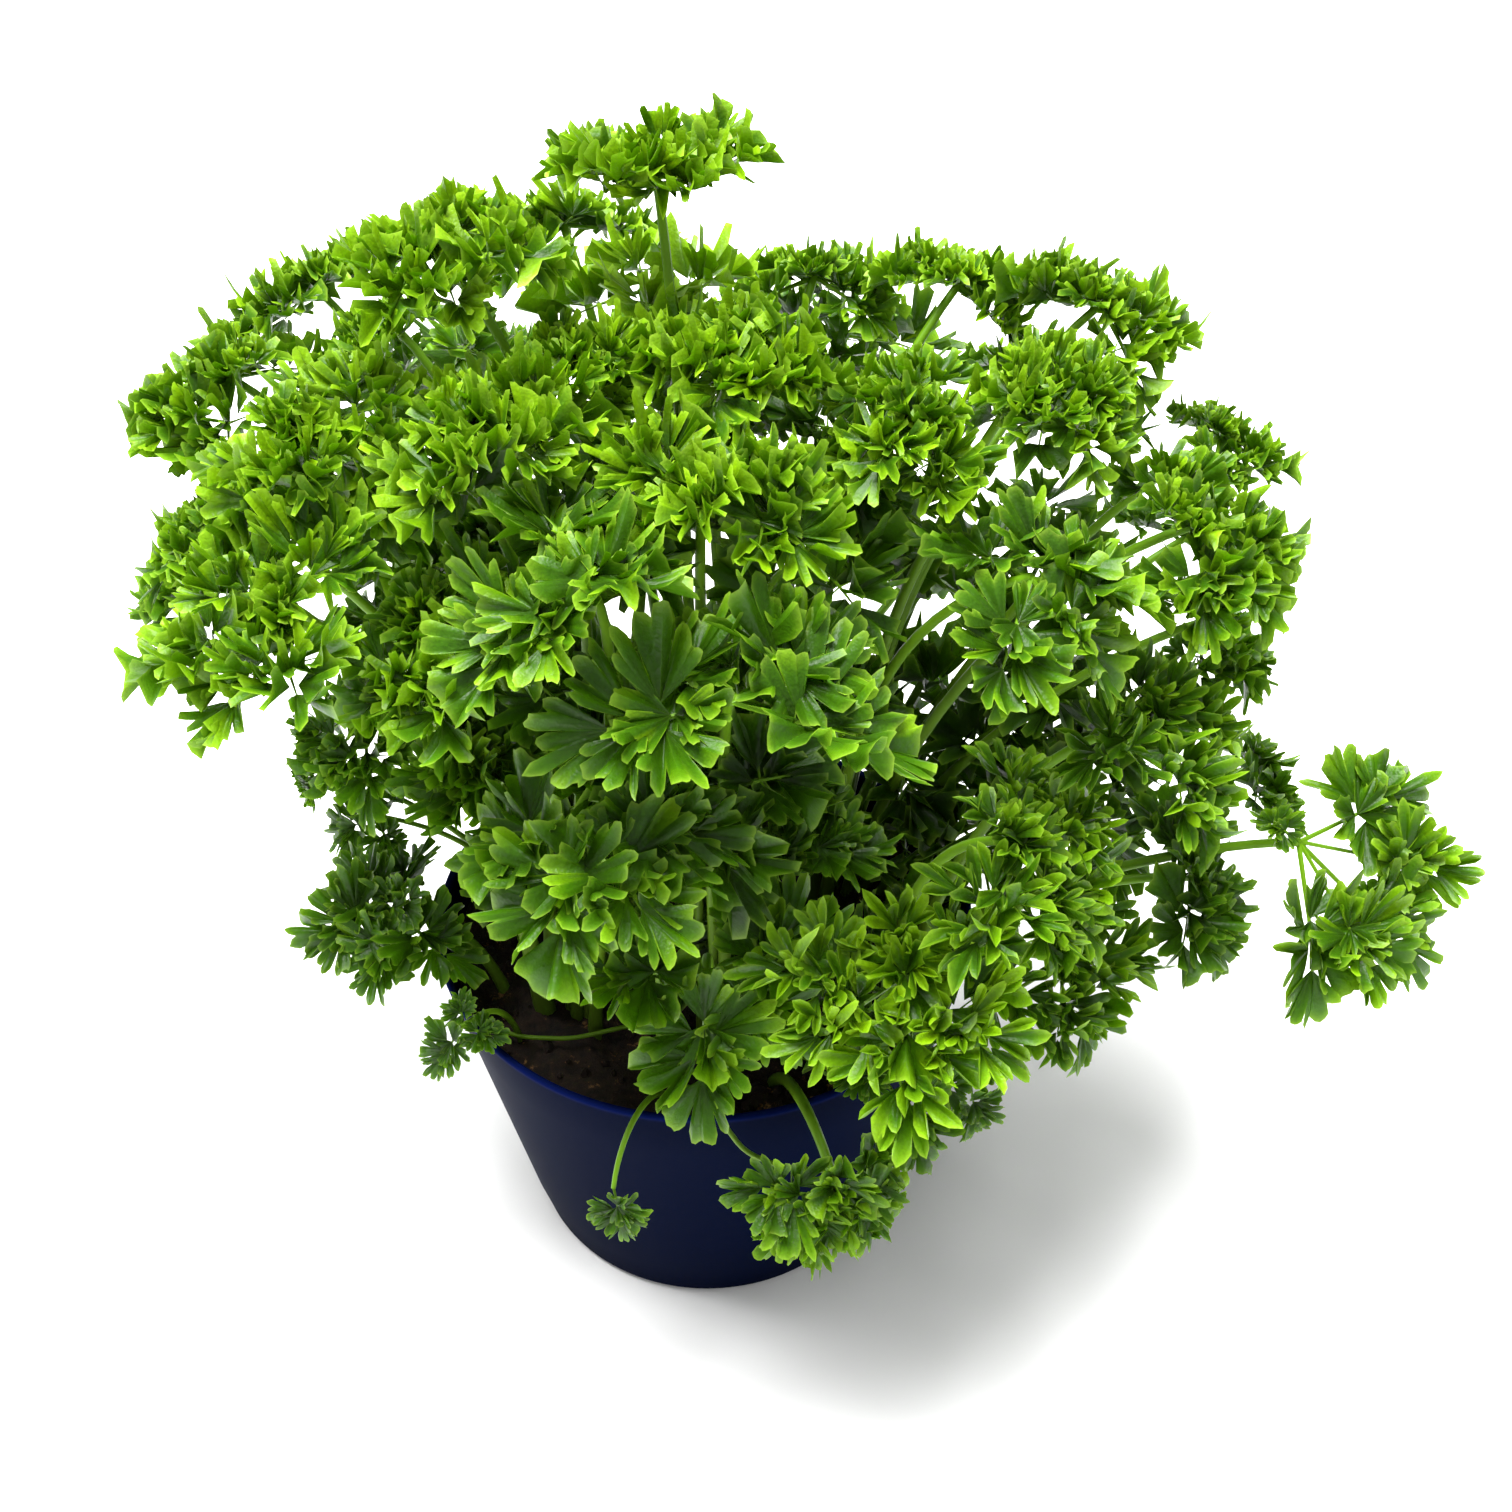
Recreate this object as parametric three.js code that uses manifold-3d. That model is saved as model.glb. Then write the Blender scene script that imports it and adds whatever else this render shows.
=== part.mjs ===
// Curly parsley growing in a plain round plastic pot: the pot, the compost in it, and every leaf
// on its own stalk. Millimetres, +Z up, origin at the middle of the pot's flat underside.
// A leaf is one piece: its stalk, and at its head up to three blades on side stalks. Each blade is
// cut to the rib in three leaflets, and each leaflet's waved edge is cut in three lobes.

import * as THREE from "three";
import Module from "manifold-3d";
import { mergeVertices } from "three/addons/utils/BufferGeometryUtils.js";

const wasm = await Module();
wasm.setup();

// Driving dimensions
const POT = {
  height: 86,
  rimRadius: 60,
  footRadius: 42,
  wall: 1.6,
  floor: 2.2,
  footRound: 2.4,
  rimRound: 0.8,
  sides: 36,
};
const DRAIN = { count: 6, radius: 4.2, ring: 29, sides: 8 };
const GAP = 0.35; // air between pieces that touch
const SOIL = { below: 9, roughness: 1.3, sides: 24, rings: [0.42, 0.8] };
const STALK = { foot: 1.6, neck: 1.3, sides: 3, steps: 4, inSoil: 13, past: 1 }; // radii, and lengths
const FOOTING = { near: 3, far: 22, fromWall: 4 }; // crown to an upright and a lying stalk's foot
const BOW = { lean: 0.12, lift: 0.34, arrive: 0.3, leastLift: 16 }; // shares of a stalk, and millimetres
const BLADE = { root: 0.8, rib: 1.3, midrib: 1.1 }; // thickness where it leaves the stalk, and on
const HEART = new THREE.Vector3(5, 8, 108); // leaves turn their faces away from here
const FACE_LIFT = 1.1; // and this much up towards the light

const COLOUR = { pot: 0x10194a, compost: 0x2a1d14, leaf: 0x4f9a1c };
const SOIL_TOP = POT.height - SOIL.below;
const UP = new THREE.Vector3(0, 0, 1);

// Crowns: the middles of the seedling clumps that the stalks rise from
const CROWNS = {
  frontLeft: [-25, -17],
  front: [4, -25],
  frontRight: [31, -10],
  backRight: [19, 17],
  back: [-1, 35],
  backLeft: [-24, 15],
};

// Leaf plans: each side stalk's bearing, and its length and its blade's as shares of the span
const PLANS = {
  full: [
    { bearing: 0, reach: 0.32, size: 0.78 },
    { bearing: 104, reach: 0.34, size: 0.74 },
    { bearing: -104, reach: 0.34, size: 0.74 },
  ],
  spray: [
    { bearing: 0, reach: 0.55, size: 0.56 },
    { bearing: 56, reach: 0.4, size: 0.56 },
    { bearing: -56, reach: 0.4, size: 0.56 },
  ],
  young: [{ bearing: 0, reach: 0.35, size: 0.8 }],
};
// The leaflets of a blade, from its right round to its left, lengths as shares of the blade's
const LEAFLETS = [
  { bearing: -76, spring: 0.1, length: 0.72 },
  { bearing: 0, spring: 0.34, length: 0.68 },
  { bearing: 76, spring: 0.1, length: 0.72 },
];
// The cut edge of a leaflet: bearing off its rib, distance out as a share, and its wave
const EDGE = [
  { bearing: -42, out: 0.86, wave: 0.12 },
  { bearing: -22, out: 0.66, wave: -0.08 },
  { bearing: -9, out: 1, wave: 0.06 },
  { bearing: 9, out: 0.97, wave: 0.06 },
  { bearing: 22, out: 0.66, wave: -0.08 },
  { bearing: 42, out: 0.86, wave: 0.12 },
];
const NOTCH = { width: 0.07, upper: 0.34 }; // the cuts between leaflets stop this near the rib
const MIDDLE = 0.42; // where a leaflet is thickest, as a share of its length

// Each leaf: its crown, its head (where the side stalks part) and its span; its plan is full unless
// it is named. turn spins it about its face, droop bends its side stalks back, foot is a stout
// stalk's radius, and face is a bearing and an elevation, in degrees, where a leaf doesn't look
// away from the plant's heart.
const LEAVES = [
  { name: "leaf_summit", crown: "back", head: [-8, 48, 241], span: 26, turn: 150, droop: -10 },
  { name: "leaf_top_left", crown: "backLeft", head: [-50, 28, 235], span: 26, turn: 200 },
  { name: "leaf_bright_top", crown: "backRight", head: [8, 18, 220], span: 26, turn: 190 },
  { name: "leaf_centre_high", crown: "front", head: [2, -24, 215], span: 27, turn: 170 },
  { name: "leaf_centre_front", crown: "front", head: [8, -58, 196], span: 33, turn: 176 },
  { name: "leaf_bow", crown: "frontLeft", head: [-24, -40, 211], span: 28, turn: 90 },
  { name: "leaf_centre_left", crown: "frontLeft", head: [-40, -8, 220], span: 27, turn: 185 },
  { name: "leaf_centre_back", crown: "backLeft", head: [-24, 16, 219], span: 22, turn: 160 },
  { name: "leaf_left_front", crown: "backLeft", head: [-72, -2, 214], span: 26, turn: 150 },
  {
    name: "leaf_left_bright",
    crown: "frontLeft",
    head: [-74, -40, 199],
    span: 28,
    turn: -25,
    droop: 2,
    foot: 2.3,
  },
  { name: "leaf_left_inner", crown: "frontLeft", head: [-48, -34, 192], span: 26, turn: 60 },
  { name: "leaf_left_mid", crown: "backLeft", head: [-94, 10, 186], span: 22, turn: 20 },
  { name: "leaf_left_shoulder", crown: "backLeft", head: [-96, 40, 200], span: 28, turn: 10 },
  { name: "leaf_left_low_back", crown: "backLeft", head: [-104, 30, 160], span: 24, turn: -10 },
  { name: "leaf_left_inner_small", crown: "backLeft", head: [-63, 50, 206], span: 16, turn: 30 },
  { name: "leaf_back_left", crown: "back", head: [-84, 74, 202], span: 24, turn: 0 },
  { name: "leaf_back_left_mid", crown: "back", head: [-30, 82, 212], span: 24, turn: 20 },
  { name: "leaf_back_centre", crown: "back", head: [24, 74, 204], span: 22, turn: 0 },
  { name: "leaf_back_right", crown: "back", head: [54, 62, 209], span: 22, turn: 15 },
  { name: "leaf_back_far_right", crown: "backRight", head: [82, 50, 211], span: 26, turn: 25 },
  { name: "leaf_right_upper", crown: "backRight", head: [73, 14, 213], span: 22, turn: 170 },
  { name: "leaf_right_top_front", crown: "backRight", head: [41, 6, 212], span: 25, turn: 175 },
  { name: "leaf_right_centre", crown: "backRight", head: [62, -24, 197], span: 31, turn: 30 },
  { name: "leaf_right_big", crown: "backRight", head: [96, -2, 193], span: 28, turn: 10 },
  { name: "leaf_right_behind", crown: "backRight", head: [109, 42, 184], span: 18, turn: -20 },
  { name: "leaf_right_low_back", crown: "backRight", head: [106, 18, 154], span: 22, turn: 0 },
  { name: "leaf_right_curly", crown: "frontRight", head: [90, -24, 162], span: 29, turn: -15 },
  { name: "leaf_inner_dark", crown: "backRight", head: [33, 26, 174], span: 26, turn: 90 },
  { name: "leaf_inner_left", crown: "backLeft", head: [-45, 20, 176], span: 25, turn: 30 },
  { name: "leaf_lower_left", crown: "frontLeft", head: [-44, -24, 163], span: 26, turn: 20 },
  { name: "leaf_left_under", crown: "backLeft", head: [-70, 2, 143], span: 24, turn: -20 },
  { name: "leaf_front_left", crown: "frontLeft", head: [-20, -60, 170], span: 31, turn: 10 },
  { name: "leaf_lower_centre", crown: "front", head: [2, -60, 130], span: 30, turn: 0 },
  { name: "leaf_lower_back", crown: "front", head: [16, -34, 138], span: 25, turn: 160 },
  { name: "leaf_right_front", crown: "frontRight", head: [39, -70, 140], span: 31, turn: -20 },
  { name: "leaf_right_front_upper", crown: "frontRight", head: [62, -50, 154], span: 30, turn: 20 },
  { name: "leaf_right_front_lower", crown: "frontRight", head: [74, -40, 112], span: 27, turn: 0 },
  { name: "leaf_right_low", crown: "frontRight", head: [104, -16, 112], span: 24, turn: 15 },
  {
    name: "leaf_right_spray",
    crown: "frontRight",
    head: [122, -22, 119],
    span: 38,
    plan: "spray",
    turn: -28,
    droop: 4,
    face: [-75, 52],
  },
  { name: "leaf_right_small", crown: "backRight", head: [122, 22, 106], span: 18, turn: 0 },
  {
    name: "leaf_hang_front",
    crown: "front",
    head: [28, -79, 85],
    span: 22,
    turn: 0,
    face: [-70, 15],
  },
  {
    name: "leaf_hang_shaded",
    crown: "frontRight",
    head: [40, -60, 100],
    span: 18,
    plan: "young",
    face: [-50, 45],
  },
  {
    name: "leaf_hang_small",
    crown: "front",
    head: [-20, -64, 76],
    span: 13,
    plan: "young",
    face: [-112, 20],
  },
  {
    name: "leaf_rim_left",
    crown: "frontLeft",
    head: [-50, -40, 92],
    span: 12,
    plan: "young",
    face: [-140, 50],
  },
  { name: "leaf_left_flat", crown: "frontLeft", head: [-67, -14, 100], span: 22, face: [-120, 62] },
  {
    name: "leaf_left_dark",
    crown: "backLeft",
    head: [-74, 14, 102],
    span: 16,
    plan: "young",
    face: [-150, 50],
  },
  {
    name: "leaf_left_pale",
    crown: "backLeft",
    head: [-92, 26, 106],
    span: 15,
    plan: "young",
    face: [180, 20],
  },
  {
    name: "leaf_rim_right",
    crown: "frontRight",
    head: [56, -50, 86],
    span: 14,
    plan: "young",
    face: [-40, 40],
  },
  { name: "leaf_rear_left", crown: "backLeft", head: [-98, 78, 148], span: 24, turn: 10 },
  { name: "leaf_rear_left_high", crown: "back", head: [-58, 102, 166], span: 25, turn: 0 },
  { name: "leaf_rear_middle", crown: "back", head: [-10, 114, 170], span: 25, turn: 15 },
  { name: "leaf_rear_right", crown: "back", head: [36, 106, 160], span: 24, turn: -15 },
  { name: "leaf_rear_right_high", crown: "backRight", head: [78, 90, 170], span: 25, turn: 0 },
  { name: "leaf_rear_far_right", crown: "backRight", head: [112, 68, 140], span: 22, turn: 10 },
  { name: "leaf_rear_low_right", crown: "back", head: [52, 92, 114], span: 22, turn: 0 },
  { name: "leaf_rear_low_left", crown: "back", head: [-34, 94, 116], span: 22, turn: 0 },
];

// Where a stalk or blade would run into its neighbour it grows another way, the first clear one
const FOOT_RINGS = [
  { radius: 0, count: 1 },
  { radius: 3.6, count: 6 },
  { radius: 7.2, count: 9 },
  { radius: 11, count: 12 },
  { radius: 15, count: 14 },
]; // places round the one that is wanted, in millimetres
const STALK_BOWS = [0, 4, -4, 9, -9]; // millimetres sideways, halfway up
const HEAD_RISES = [0, 4, -4, 8, -8]; // millimetres along the leaf's face
const HEAD_SLIPS = [0, 6, -6, 12, -12]; // millimetres sideways
const BLADE_TILTS = [0, 18, -18, 36, -36, 54, -54, 72]; // degrees
const BLADE_SWINGS = [0, 18, -18, 36, -36, 60, -60]; // degrees
const BLADE_SIZES = [1, 0.85, 0.7, 0.55, 0.42];
const STALK_WAYS = everyWay(
  FOOT_RINGS.flatMap(({ radius, count }) =>
    Array.from({ length: count }, (_, i) => [radius, (2 * Math.PI * i) / count]),
  ),
  STALK_BOWS,
  HEAD_RISES,
  HEAD_SLIPS,
  ([radius, bearing], bow, rise, slip) => ({
    east: radius * Math.cos(bearing),
    north: radius * Math.sin(bearing),
    bow,
    rise,
    slip,
    effort: Math.hypot(radius / 4, bow / 4, rise / 3, slip / 4),
  }),
);
const BLADE_WAYS = everyWay(BLADE_SIZES, BLADE_TILTS, BLADE_SWINGS, [0], (size, tilt, swing) => ({
  size,
  tilt,
  swing,
  effort: Math.hypot((1 - size) / 0.11, tilt / 18, swing / 18),
}));

// Every mix of four lists of choices, the least effort first
function everyWay(first, second, third, fourth, make) {
  const ways = [];
  for (const a of first)
    for (const b of second)
      for (const c of third)
        for (const d of fourth) ways.push(make(a, b, c, d));
  return ways.sort((one, other) => one.effort - other.effort);
}

const radians = (degrees) => (degrees * Math.PI) / 180;

// A seeded draw between two numbers, the same on every run
function drawsFrom(seed) {
  let state = Math.imul(seed, 2654435761) >>> 0;
  return (low, high) => {
    state = (Math.imul(state, 1664525) + 1013904223) >>> 0;
    return low + ((high - low) * state) / 4294967296;
  };
}

// Solids in and out of the boolean library
function solidOf(geometry) {
  const plain = geometry.clone();
  plain.deleteAttribute("normal");
  plain.deleteAttribute("uv");
  const merged = mergeVertices(plain, 1e-4);
  return new wasm.Manifold(
    new wasm.Mesh({
      numProp: 3,
      vertProperties: new Float32Array(merged.attributes.position.array),
      triVerts: new Uint32Array(merged.index.array),
    }),
  );
}

function geometryOf(solid) {
  const mesh = solid.getMesh();
  const flat = new THREE.BufferGeometry();
  flat.setAttribute("position", new THREE.BufferAttribute(new Float32Array(mesh.vertProperties), 3));
  flat.setIndex(new THREE.BufferAttribute(new Uint32Array(mesh.triVerts), 1));
  const facets = flat.toNonIndexed();
  facets.computeVertexNormals();
  return facets;
}

function geometryFrom(points, triangles) {
  const geometry = new THREE.BufferGeometry().setFromPoints(points);
  geometry.setIndex(triangles.flat());
  return geometry;
}

function turnedProfile(profile, sides) {
  const points = profile.map(([radius, height]) => new THREE.Vector2(radius, height));
  return new THREE.LatheGeometry(points, sides).rotateX(Math.PI / 2);
}

// Pot
function innerRadiusAt(z) {
  const share = z / POT.height;
  return POT.footRadius + (POT.rimRadius - POT.footRadius) * share - POT.wall;
}

function potSolid() {
  const { height, rimRadius, footRadius, wall, floor, footRound, rimRound } = POT;
  const shell = solidOf(
    turnedProfile(
      [
        [0, 0],
        [footRadius - footRound, 0],
        [footRadius - 0.3 * footRound, 0.3 * footRound],
        [footRadius + 0.2 * footRound, footRound],
        [rimRadius, height - rimRound],
        [rimRadius - 0.5 * rimRound, height],
        [rimRadius - wall + 0.4 * rimRound, height],
        [rimRadius - wall, height - rimRound],
        [innerRadiusAt(floor), floor],
        [0, floor],
      ],
      POT.sides,
    ),
  );
  const drain = new THREE.CylinderGeometry(DRAIN.radius, DRAIN.radius, 4 * floor, DRAIN.sides);
  drain.rotateX(Math.PI / 2);
  let pot = shell;
  for (let i = 0; i < DRAIN.count; i += 1) {
    const angle = ((i + 0.5) / DRAIN.count) * 2 * Math.PI;
    const hole = drain.clone().translate(DRAIN.ring * Math.cos(angle), DRAIN.ring * Math.sin(angle), 0);
    pot = pot.subtract(solidOf(hole));
  }
  return pot;
}

// Compost: a plug that fills the pot, its top rough by formula, with a plain hole for each stalk
function soilHeightAt(x, y) {
  const crumbs = Math.sin(0.31 * x + 1.3) * Math.cos(0.27 * y - 0.4) + 0.6 * Math.sin(0.52 * (x + y));
  return SOIL_TOP + SOIL.roughness * crumbs;
}

function soilSolid(holes) {
  const edge = innerRadiusAt(SOIL_TOP) - GAP;
  const foot = innerRadiusAt(POT.floor) - GAP;
  const points = [new THREE.Vector3(0, 0, soilHeightAt(0, 0))];
  const radii = [...SOIL.rings, 1].map((share) => share * edge);
  const around = (i) => ((i % SOIL.sides) / SOIL.sides) * 2 * Math.PI;
  for (const radius of radii)
    for (let i = 0; i < SOIL.sides; i += 1) {
      const x = radius * Math.cos(around(i));
      const y = radius * Math.sin(around(i));
      points.push(new THREE.Vector3(x, y, radius === edge ? SOIL_TOP - 1 : soilHeightAt(x, y)));
    }
  for (let i = 0; i < SOIL.sides; i += 1)
    points.push(
      new THREE.Vector3(foot * Math.cos(around(i)), foot * Math.sin(around(i)), POT.floor + GAP),
    );
  const under = points.push(new THREE.Vector3(0, 0, POT.floor + GAP)) - 1;
  const ring = (row, i) => 1 + row * SOIL.sides + (i % SOIL.sides);
  const rows = radii.length;
  const triangles = [];
  for (let i = 0; i < SOIL.sides; i += 1) {
    triangles.push([0, ring(0, i), ring(0, i + 1)]);
    for (let row = 0; row < rows; row += 1) {
      triangles.push([ring(row, i), ring(row + 1, i), ring(row + 1, i + 1)]);
      triangles.push([ring(row, i), ring(row + 1, i + 1), ring(row, i + 1)]);
    }
    triangles.push([under, ring(rows, i + 1), ring(rows, i)]);
  }
  return solidOf(geometryFrom(points, triangles)).subtract(wasm.Manifold.union(holes));
}

// A tube of few sides round a curve; level is a direction that the curve never runs along
function tubeSolid(curve, level, radiusAt, startShift = 0) {
  const { sides, steps } = STALK;
  const points = [];
  for (let i = 0; i <= steps; i += 1) {
    const share = i / steps;
    const ahead = curve.getTangent(share);
    const across = level.clone().addScaledVector(ahead, -level.dot(ahead)).normalize();
    const over = new THREE.Vector3().crossVectors(ahead, across);
    const middle = curve.getPoint(share);
    if (i === 0) middle.addScaledVector(ahead, -startShift);
    if (i === steps) middle.addScaledVector(ahead, STALK.past);
    for (let k = 0; k < sides; k += 1) {
      const angle = (k / sides) * 2 * Math.PI;
      const [a, b] = [radiusAt(share) * Math.cos(angle), radiusAt(share) * Math.sin(angle)];
      points.push(middle.clone().addScaledVector(across, a).addScaledVector(over, b));
    }
  }
  const at = (i, k) => i * sides + (k % sides);
  const triangles = [];
  for (let i = 0; i < steps; i += 1)
    for (let k = 0; k < sides; k += 1) {
      triangles.push([at(i, k), at(i, k + 1), at(i + 1, k + 1)]);
      triangles.push([at(i, k), at(i + 1, k + 1), at(i + 1, k)]);
    }
  for (let k = 1; k < sides - 1; k += 1) {
    triangles.push([at(0, 0), at(0, k + 1), at(0, k)]);
    triangles.push([at(steps, 0), at(steps, k), at(steps, k + 1)]);
  }
  return solidOf(geometryFrom(points, triangles));
}

// The three directions of a leaf at its head: out of its face, along its middle, and sideways
function leafFrame(leaf, { rise, slip }) {
  const head = new THREE.Vector3(...leaf.head);
  const outward = new THREE.Vector3(head.x, head.y, 0).normalize();
  const face = new THREE.Vector3();
  if (leaf.face) {
    const [bearing, elevation] = leaf.face.map(radians);
    face.set(
      Math.cos(bearing) * Math.cos(elevation),
      Math.sin(bearing) * Math.cos(elevation),
      Math.sin(elevation),
    );
  } else face.subVectors(head, HEART).normalize().addScaledVector(UP, FACE_LIFT).normalize();
  const straight = outward.addScaledVector(face, -outward.dot(face)).normalize();
  const turn = radians(leaf.turn ?? 0);
  const across = new THREE.Vector3().crossVectors(face, straight);
  head.addScaledVector(face, rise).addScaledVector(across, slip);
  const along = straight.clone().multiplyScalar(Math.cos(turn)).addScaledVector(across, Math.sin(turn));
  const side = new THREE.Vector3().crossVectors(face, along);
  return { head, face, straight, along, side };
}

// The curve of a stalk from its foot in the compost to the leaf's head
function stalkCurve(leaf, { head, face, straight }, { east, north, bow }) {
  const [crownX, crownY] = CROWNS[leaf.crown];
  const fromCrown = new THREE.Vector2(head.x - crownX, head.y - crownY);
  const rise = Math.max(head.z - SOIL_TOP, 10);
  const lean = fromCrown.length() / (fromCrown.length() + rise); // 0 upright, 1 lying
  const bearing = fromCrown.clone().normalize();
  const foot = new THREE.Vector3(
    crownX + (FOOTING.near + FOOTING.far * lean) * bearing.x + east,
    crownY + (FOOTING.near + FOOTING.far * lean) * bearing.y + north,
    SOIL_TOP - STALK.inSoil,
  );
  const length = Math.hypot(head.x - foot.x, head.y - foot.y, rise);
  const sideways = new THREE.Vector3(-bearing.y * bow, bearing.x * bow, 0);
  const lower = foot.clone().add(sideways);
  lower.x += BOW.lean * length * lean * bearing.x;
  lower.y += BOW.lean * length * lean * bearing.y;
  lower.z = SOIL_TOP + Math.max(BOW.lift * rise, BOW.leastLift);
  const arriving = face.clone().add(straight).normalize();
  const upper = head.clone().addScaledVector(arriving, -BOW.arrive * length).add(sideways);
  upper.z = Math.max(upper.z, SOIL_TOP + BOW.leastLift);
  return new THREE.CubicBezierCurve3(foot, lower, upper, head);
}

// The blades of a leaf: which way each points, how large it is, and how it folds and waves
function leafPlan(leaf, draw) {
  return PLANS[leaf.plan ?? "full"].map((branch) => ({
    bearing: branch.bearing + draw(-9, 9),
    droop: (leaf.droop ?? 14) + draw(-10, 14),
    roll: draw(-22, 22),
    reach: branch.reach * leaf.span * draw(0.92, 1.08),
    size: branch.size * leaf.span * draw(0.94, 1.1),
    fold: draw(-0.1, 0.34),
    curl: draw(0.05, 0.4),
    waves: LEAFLETS.map(() => EDGE.map(() => draw(-0.09, 0.13))),
  }));
}

// Where a point of a blade's flat plan goes: x along its rib, y across it, lift off its face
function bladePlace({ head, face, along, side }, branch, way) {
  const bearing = radians(branch.bearing + way.swing);
  const droop = radians(branch.droop - way.tilt);
  const roll = radians(branch.roll);
  const size = branch.size * way.size;
  const flat = along.clone().multiplyScalar(Math.cos(bearing)).addScaledVector(side, Math.sin(bearing));
  const out = flat.clone().multiplyScalar(Math.cos(droop)).addScaledVector(face, -Math.sin(droop));
  const top = face.clone().multiplyScalar(Math.cos(droop)).addScaledVector(flat, Math.sin(droop));
  const level = new THREE.Vector3().crossVectors(top, out);
  const across = level.clone().multiplyScalar(Math.cos(roll)).addScaledVector(top, Math.sin(roll));
  const over = top.clone().multiplyScalar(Math.cos(roll)).addScaledVector(level, -Math.sin(roll));
  const base = head.clone().addScaledVector(out, branch.reach);
  return (x, y, lift) => {
    const bend = branch.fold * Math.abs(y) - branch.curl * Math.max(x, 0) ** 2;
    return base
      .clone()
      .addScaledVector(out, x * size)
      .addScaledVector(across, y * size)
      .addScaledVector(over, (bend + lift) * size);
  };
}

// One blade with its side stalk. Both faces are split in the same triangles, thickest over the
// ribs and sharp at the cut, waved edge.
function bladeSolid(frame, branch, way) {
  const place = bladePlace(frame, branch, way);
  const size = branch.size * way.size;
  const onLeaflet = ({ bearing, spring, length }, angle, out, lift) => {
    const direction = radians(bearing + angle);
    return [spring + out * length * Math.cos(direction), out * length * Math.sin(direction), lift];
  };
  const root = -branch.reach / size;
  const half = BLADE.root / 2 / size;
  const edges = LEAFLETS.map((leaflet, i) =>
    EDGE.map(({ bearing, out, wave }, j) => onLeaflet(leaflet, bearing, out, wave + branch.waves[i][j])),
  );
  const rim = [
    [root, -half, 0],
    [0, -NOTCH.width, 0],
    ...edges[0],
    [NOTCH.upper, -NOTCH.width, 0],
    ...edges[1],
    [NOTCH.upper, NOTCH.width, 0],
    ...edges[2],
    [0, NOTCH.width, 0],
    [root, half, 0],
  ];
  const ribs = [
    [root, 0, BLADE.root],
    [0, 0, BLADE.rib],
    ...LEAFLETS.map((leaflet) => onLeaflet(leaflet, 0, MIDDLE, BLADE.midrib)),
  ];
  const points = rim.map(([x, y, lift]) => place(x, y, lift));
  for (const face of [0.5, -0.5])
    for (const [x, y, thickness] of ribs) points.push(place(x, y, (face * thickness) / size));
  const [ribRoot, ribBase] = [rim.length, rim.length + 1];
  const last = rim.length - 1;
  const upper = [
    [ribRoot, 0, 1],
    [ribRoot, 1, ribBase],
    [ribRoot, ribBase, last - 1],
    [ribRoot, last - 1, last],
  ];
  LEAFLETS.forEach((_, i) => {
    const middle = ribBase + 1 + i;
    const start = 1 + i * (EDGE.length + 1);
    const ring = [ribBase, ...Array.from({ length: EDGE.length + 2 }, (_, j) => start + j)];
    ring.forEach((point, j) => upper.push([middle, point, ring[(j + 1) % ring.length]]));
  });
  const below = (point) => (point < rim.length ? point : point + ribs.length);
  const lower = upper.map(([a, b, c]) => [below(a), below(c), below(b)]);
  const end = [
    [ribRoot, last, below(ribRoot)],
    [ribRoot, below(ribRoot), 0],
  ];
  return solidOf(geometryFrom(points, [...upper, ...lower, ...end]));
}

// What is already in place, so that the next piece can keep clear of it
const standing = [];

function boxesNear(a, b) {
  return [0, 1, 2].every((k) => a.min[k] - GAP < b.max[k] && b.min[k] - GAP < a.max[k]);
}

function isClear(solid, owner) {
  const box = solid.boundingBox();
  return standing.every(
    (other) =>
      other.owner === owner || !boxesNear(box, other.box) || solid.minGap(other.solid, GAP) >= 0.99 * GAP,
  );
}

function settle(solid, owner) {
  standing.push({ solid, owner, box: solid.boundingBox() });
  return solid;
}

// The stalk of a leaf, grown the first way that is clear
function growStalk(leaf) {
  const foot = leaf.foot ?? STALK.foot;
  const radiusAt = (share) => foot + (STALK.neck - foot) * share;
  for (const way of STALK_WAYS) {
    const frame = leafFrame(leaf, way);
    const curve = stalkCurve(leaf, frame, way);
    const [x, y, z] = curve.v0.toArray();
    if (Math.hypot(x, y) > innerRadiusAt(z) - FOOTING.fromWall) continue;
    const level = new THREE.Vector3(-frame.head.y, frame.head.x, 0).normalize();
    const stalk = tubeSolid(curve, level, radiusAt);
    if (isClear(stalk, leaf.name)) {
      const hole = tubeSolid(curve, level, (share) => radiusAt(share) + 2 * GAP, GAP);
      return { frame, stalk, hole };
    }
  }
  throw new Error(`${leaf.name}: no way up for its stalk is clear`);
}

// A blade, opened the first way that is clear
function growBlade(leaf, frame, branch) {
  for (const way of BLADE_WAYS) {
    const blade = bladeSolid(frame, branch, way);
    if (isClear(blade, leaf.name)) return blade;
  }
  throw new Error(`${leaf.name}: a blade has no room`);
}

// The whole plant
const plant = new THREE.Group();

function addPiece(name, solid, color, roughness) {
  const material = new THREE.MeshStandardMaterial({ color, roughness, metalness: 0 });
  const mesh = new THREE.Mesh(geometryOf(solid), material);
  mesh.name = name;
  plant.add(mesh);
}

const pot = settle(potSolid(), "pot");
const grown = LEAVES.map((leaf) => {
  const { frame, stalk, hole } = growStalk(leaf);
  settle(stalk, leaf.name);
  return { leaf, frame, hole, parts: [stalk] };
});
const soil = settle(soilSolid(grown.map(({ hole }) => hole)), "soil");
grown.forEach(({ leaf, frame, parts }, i) => {
  for (const branch of leafPlan(leaf, drawsFrom(i + 11))) {
    parts.push(settle(growBlade(leaf, frame, branch), leaf.name));
  }
});

addPiece("pot", pot, COLOUR.pot, 0.45);
addPiece("soil", soil, COLOUR.compost, 0.95);
for (const { leaf, parts } of grown) addPiece(leaf.name, wasm.Manifold.union(parts), COLOUR.leaf, 0.5);

export default plant;
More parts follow.
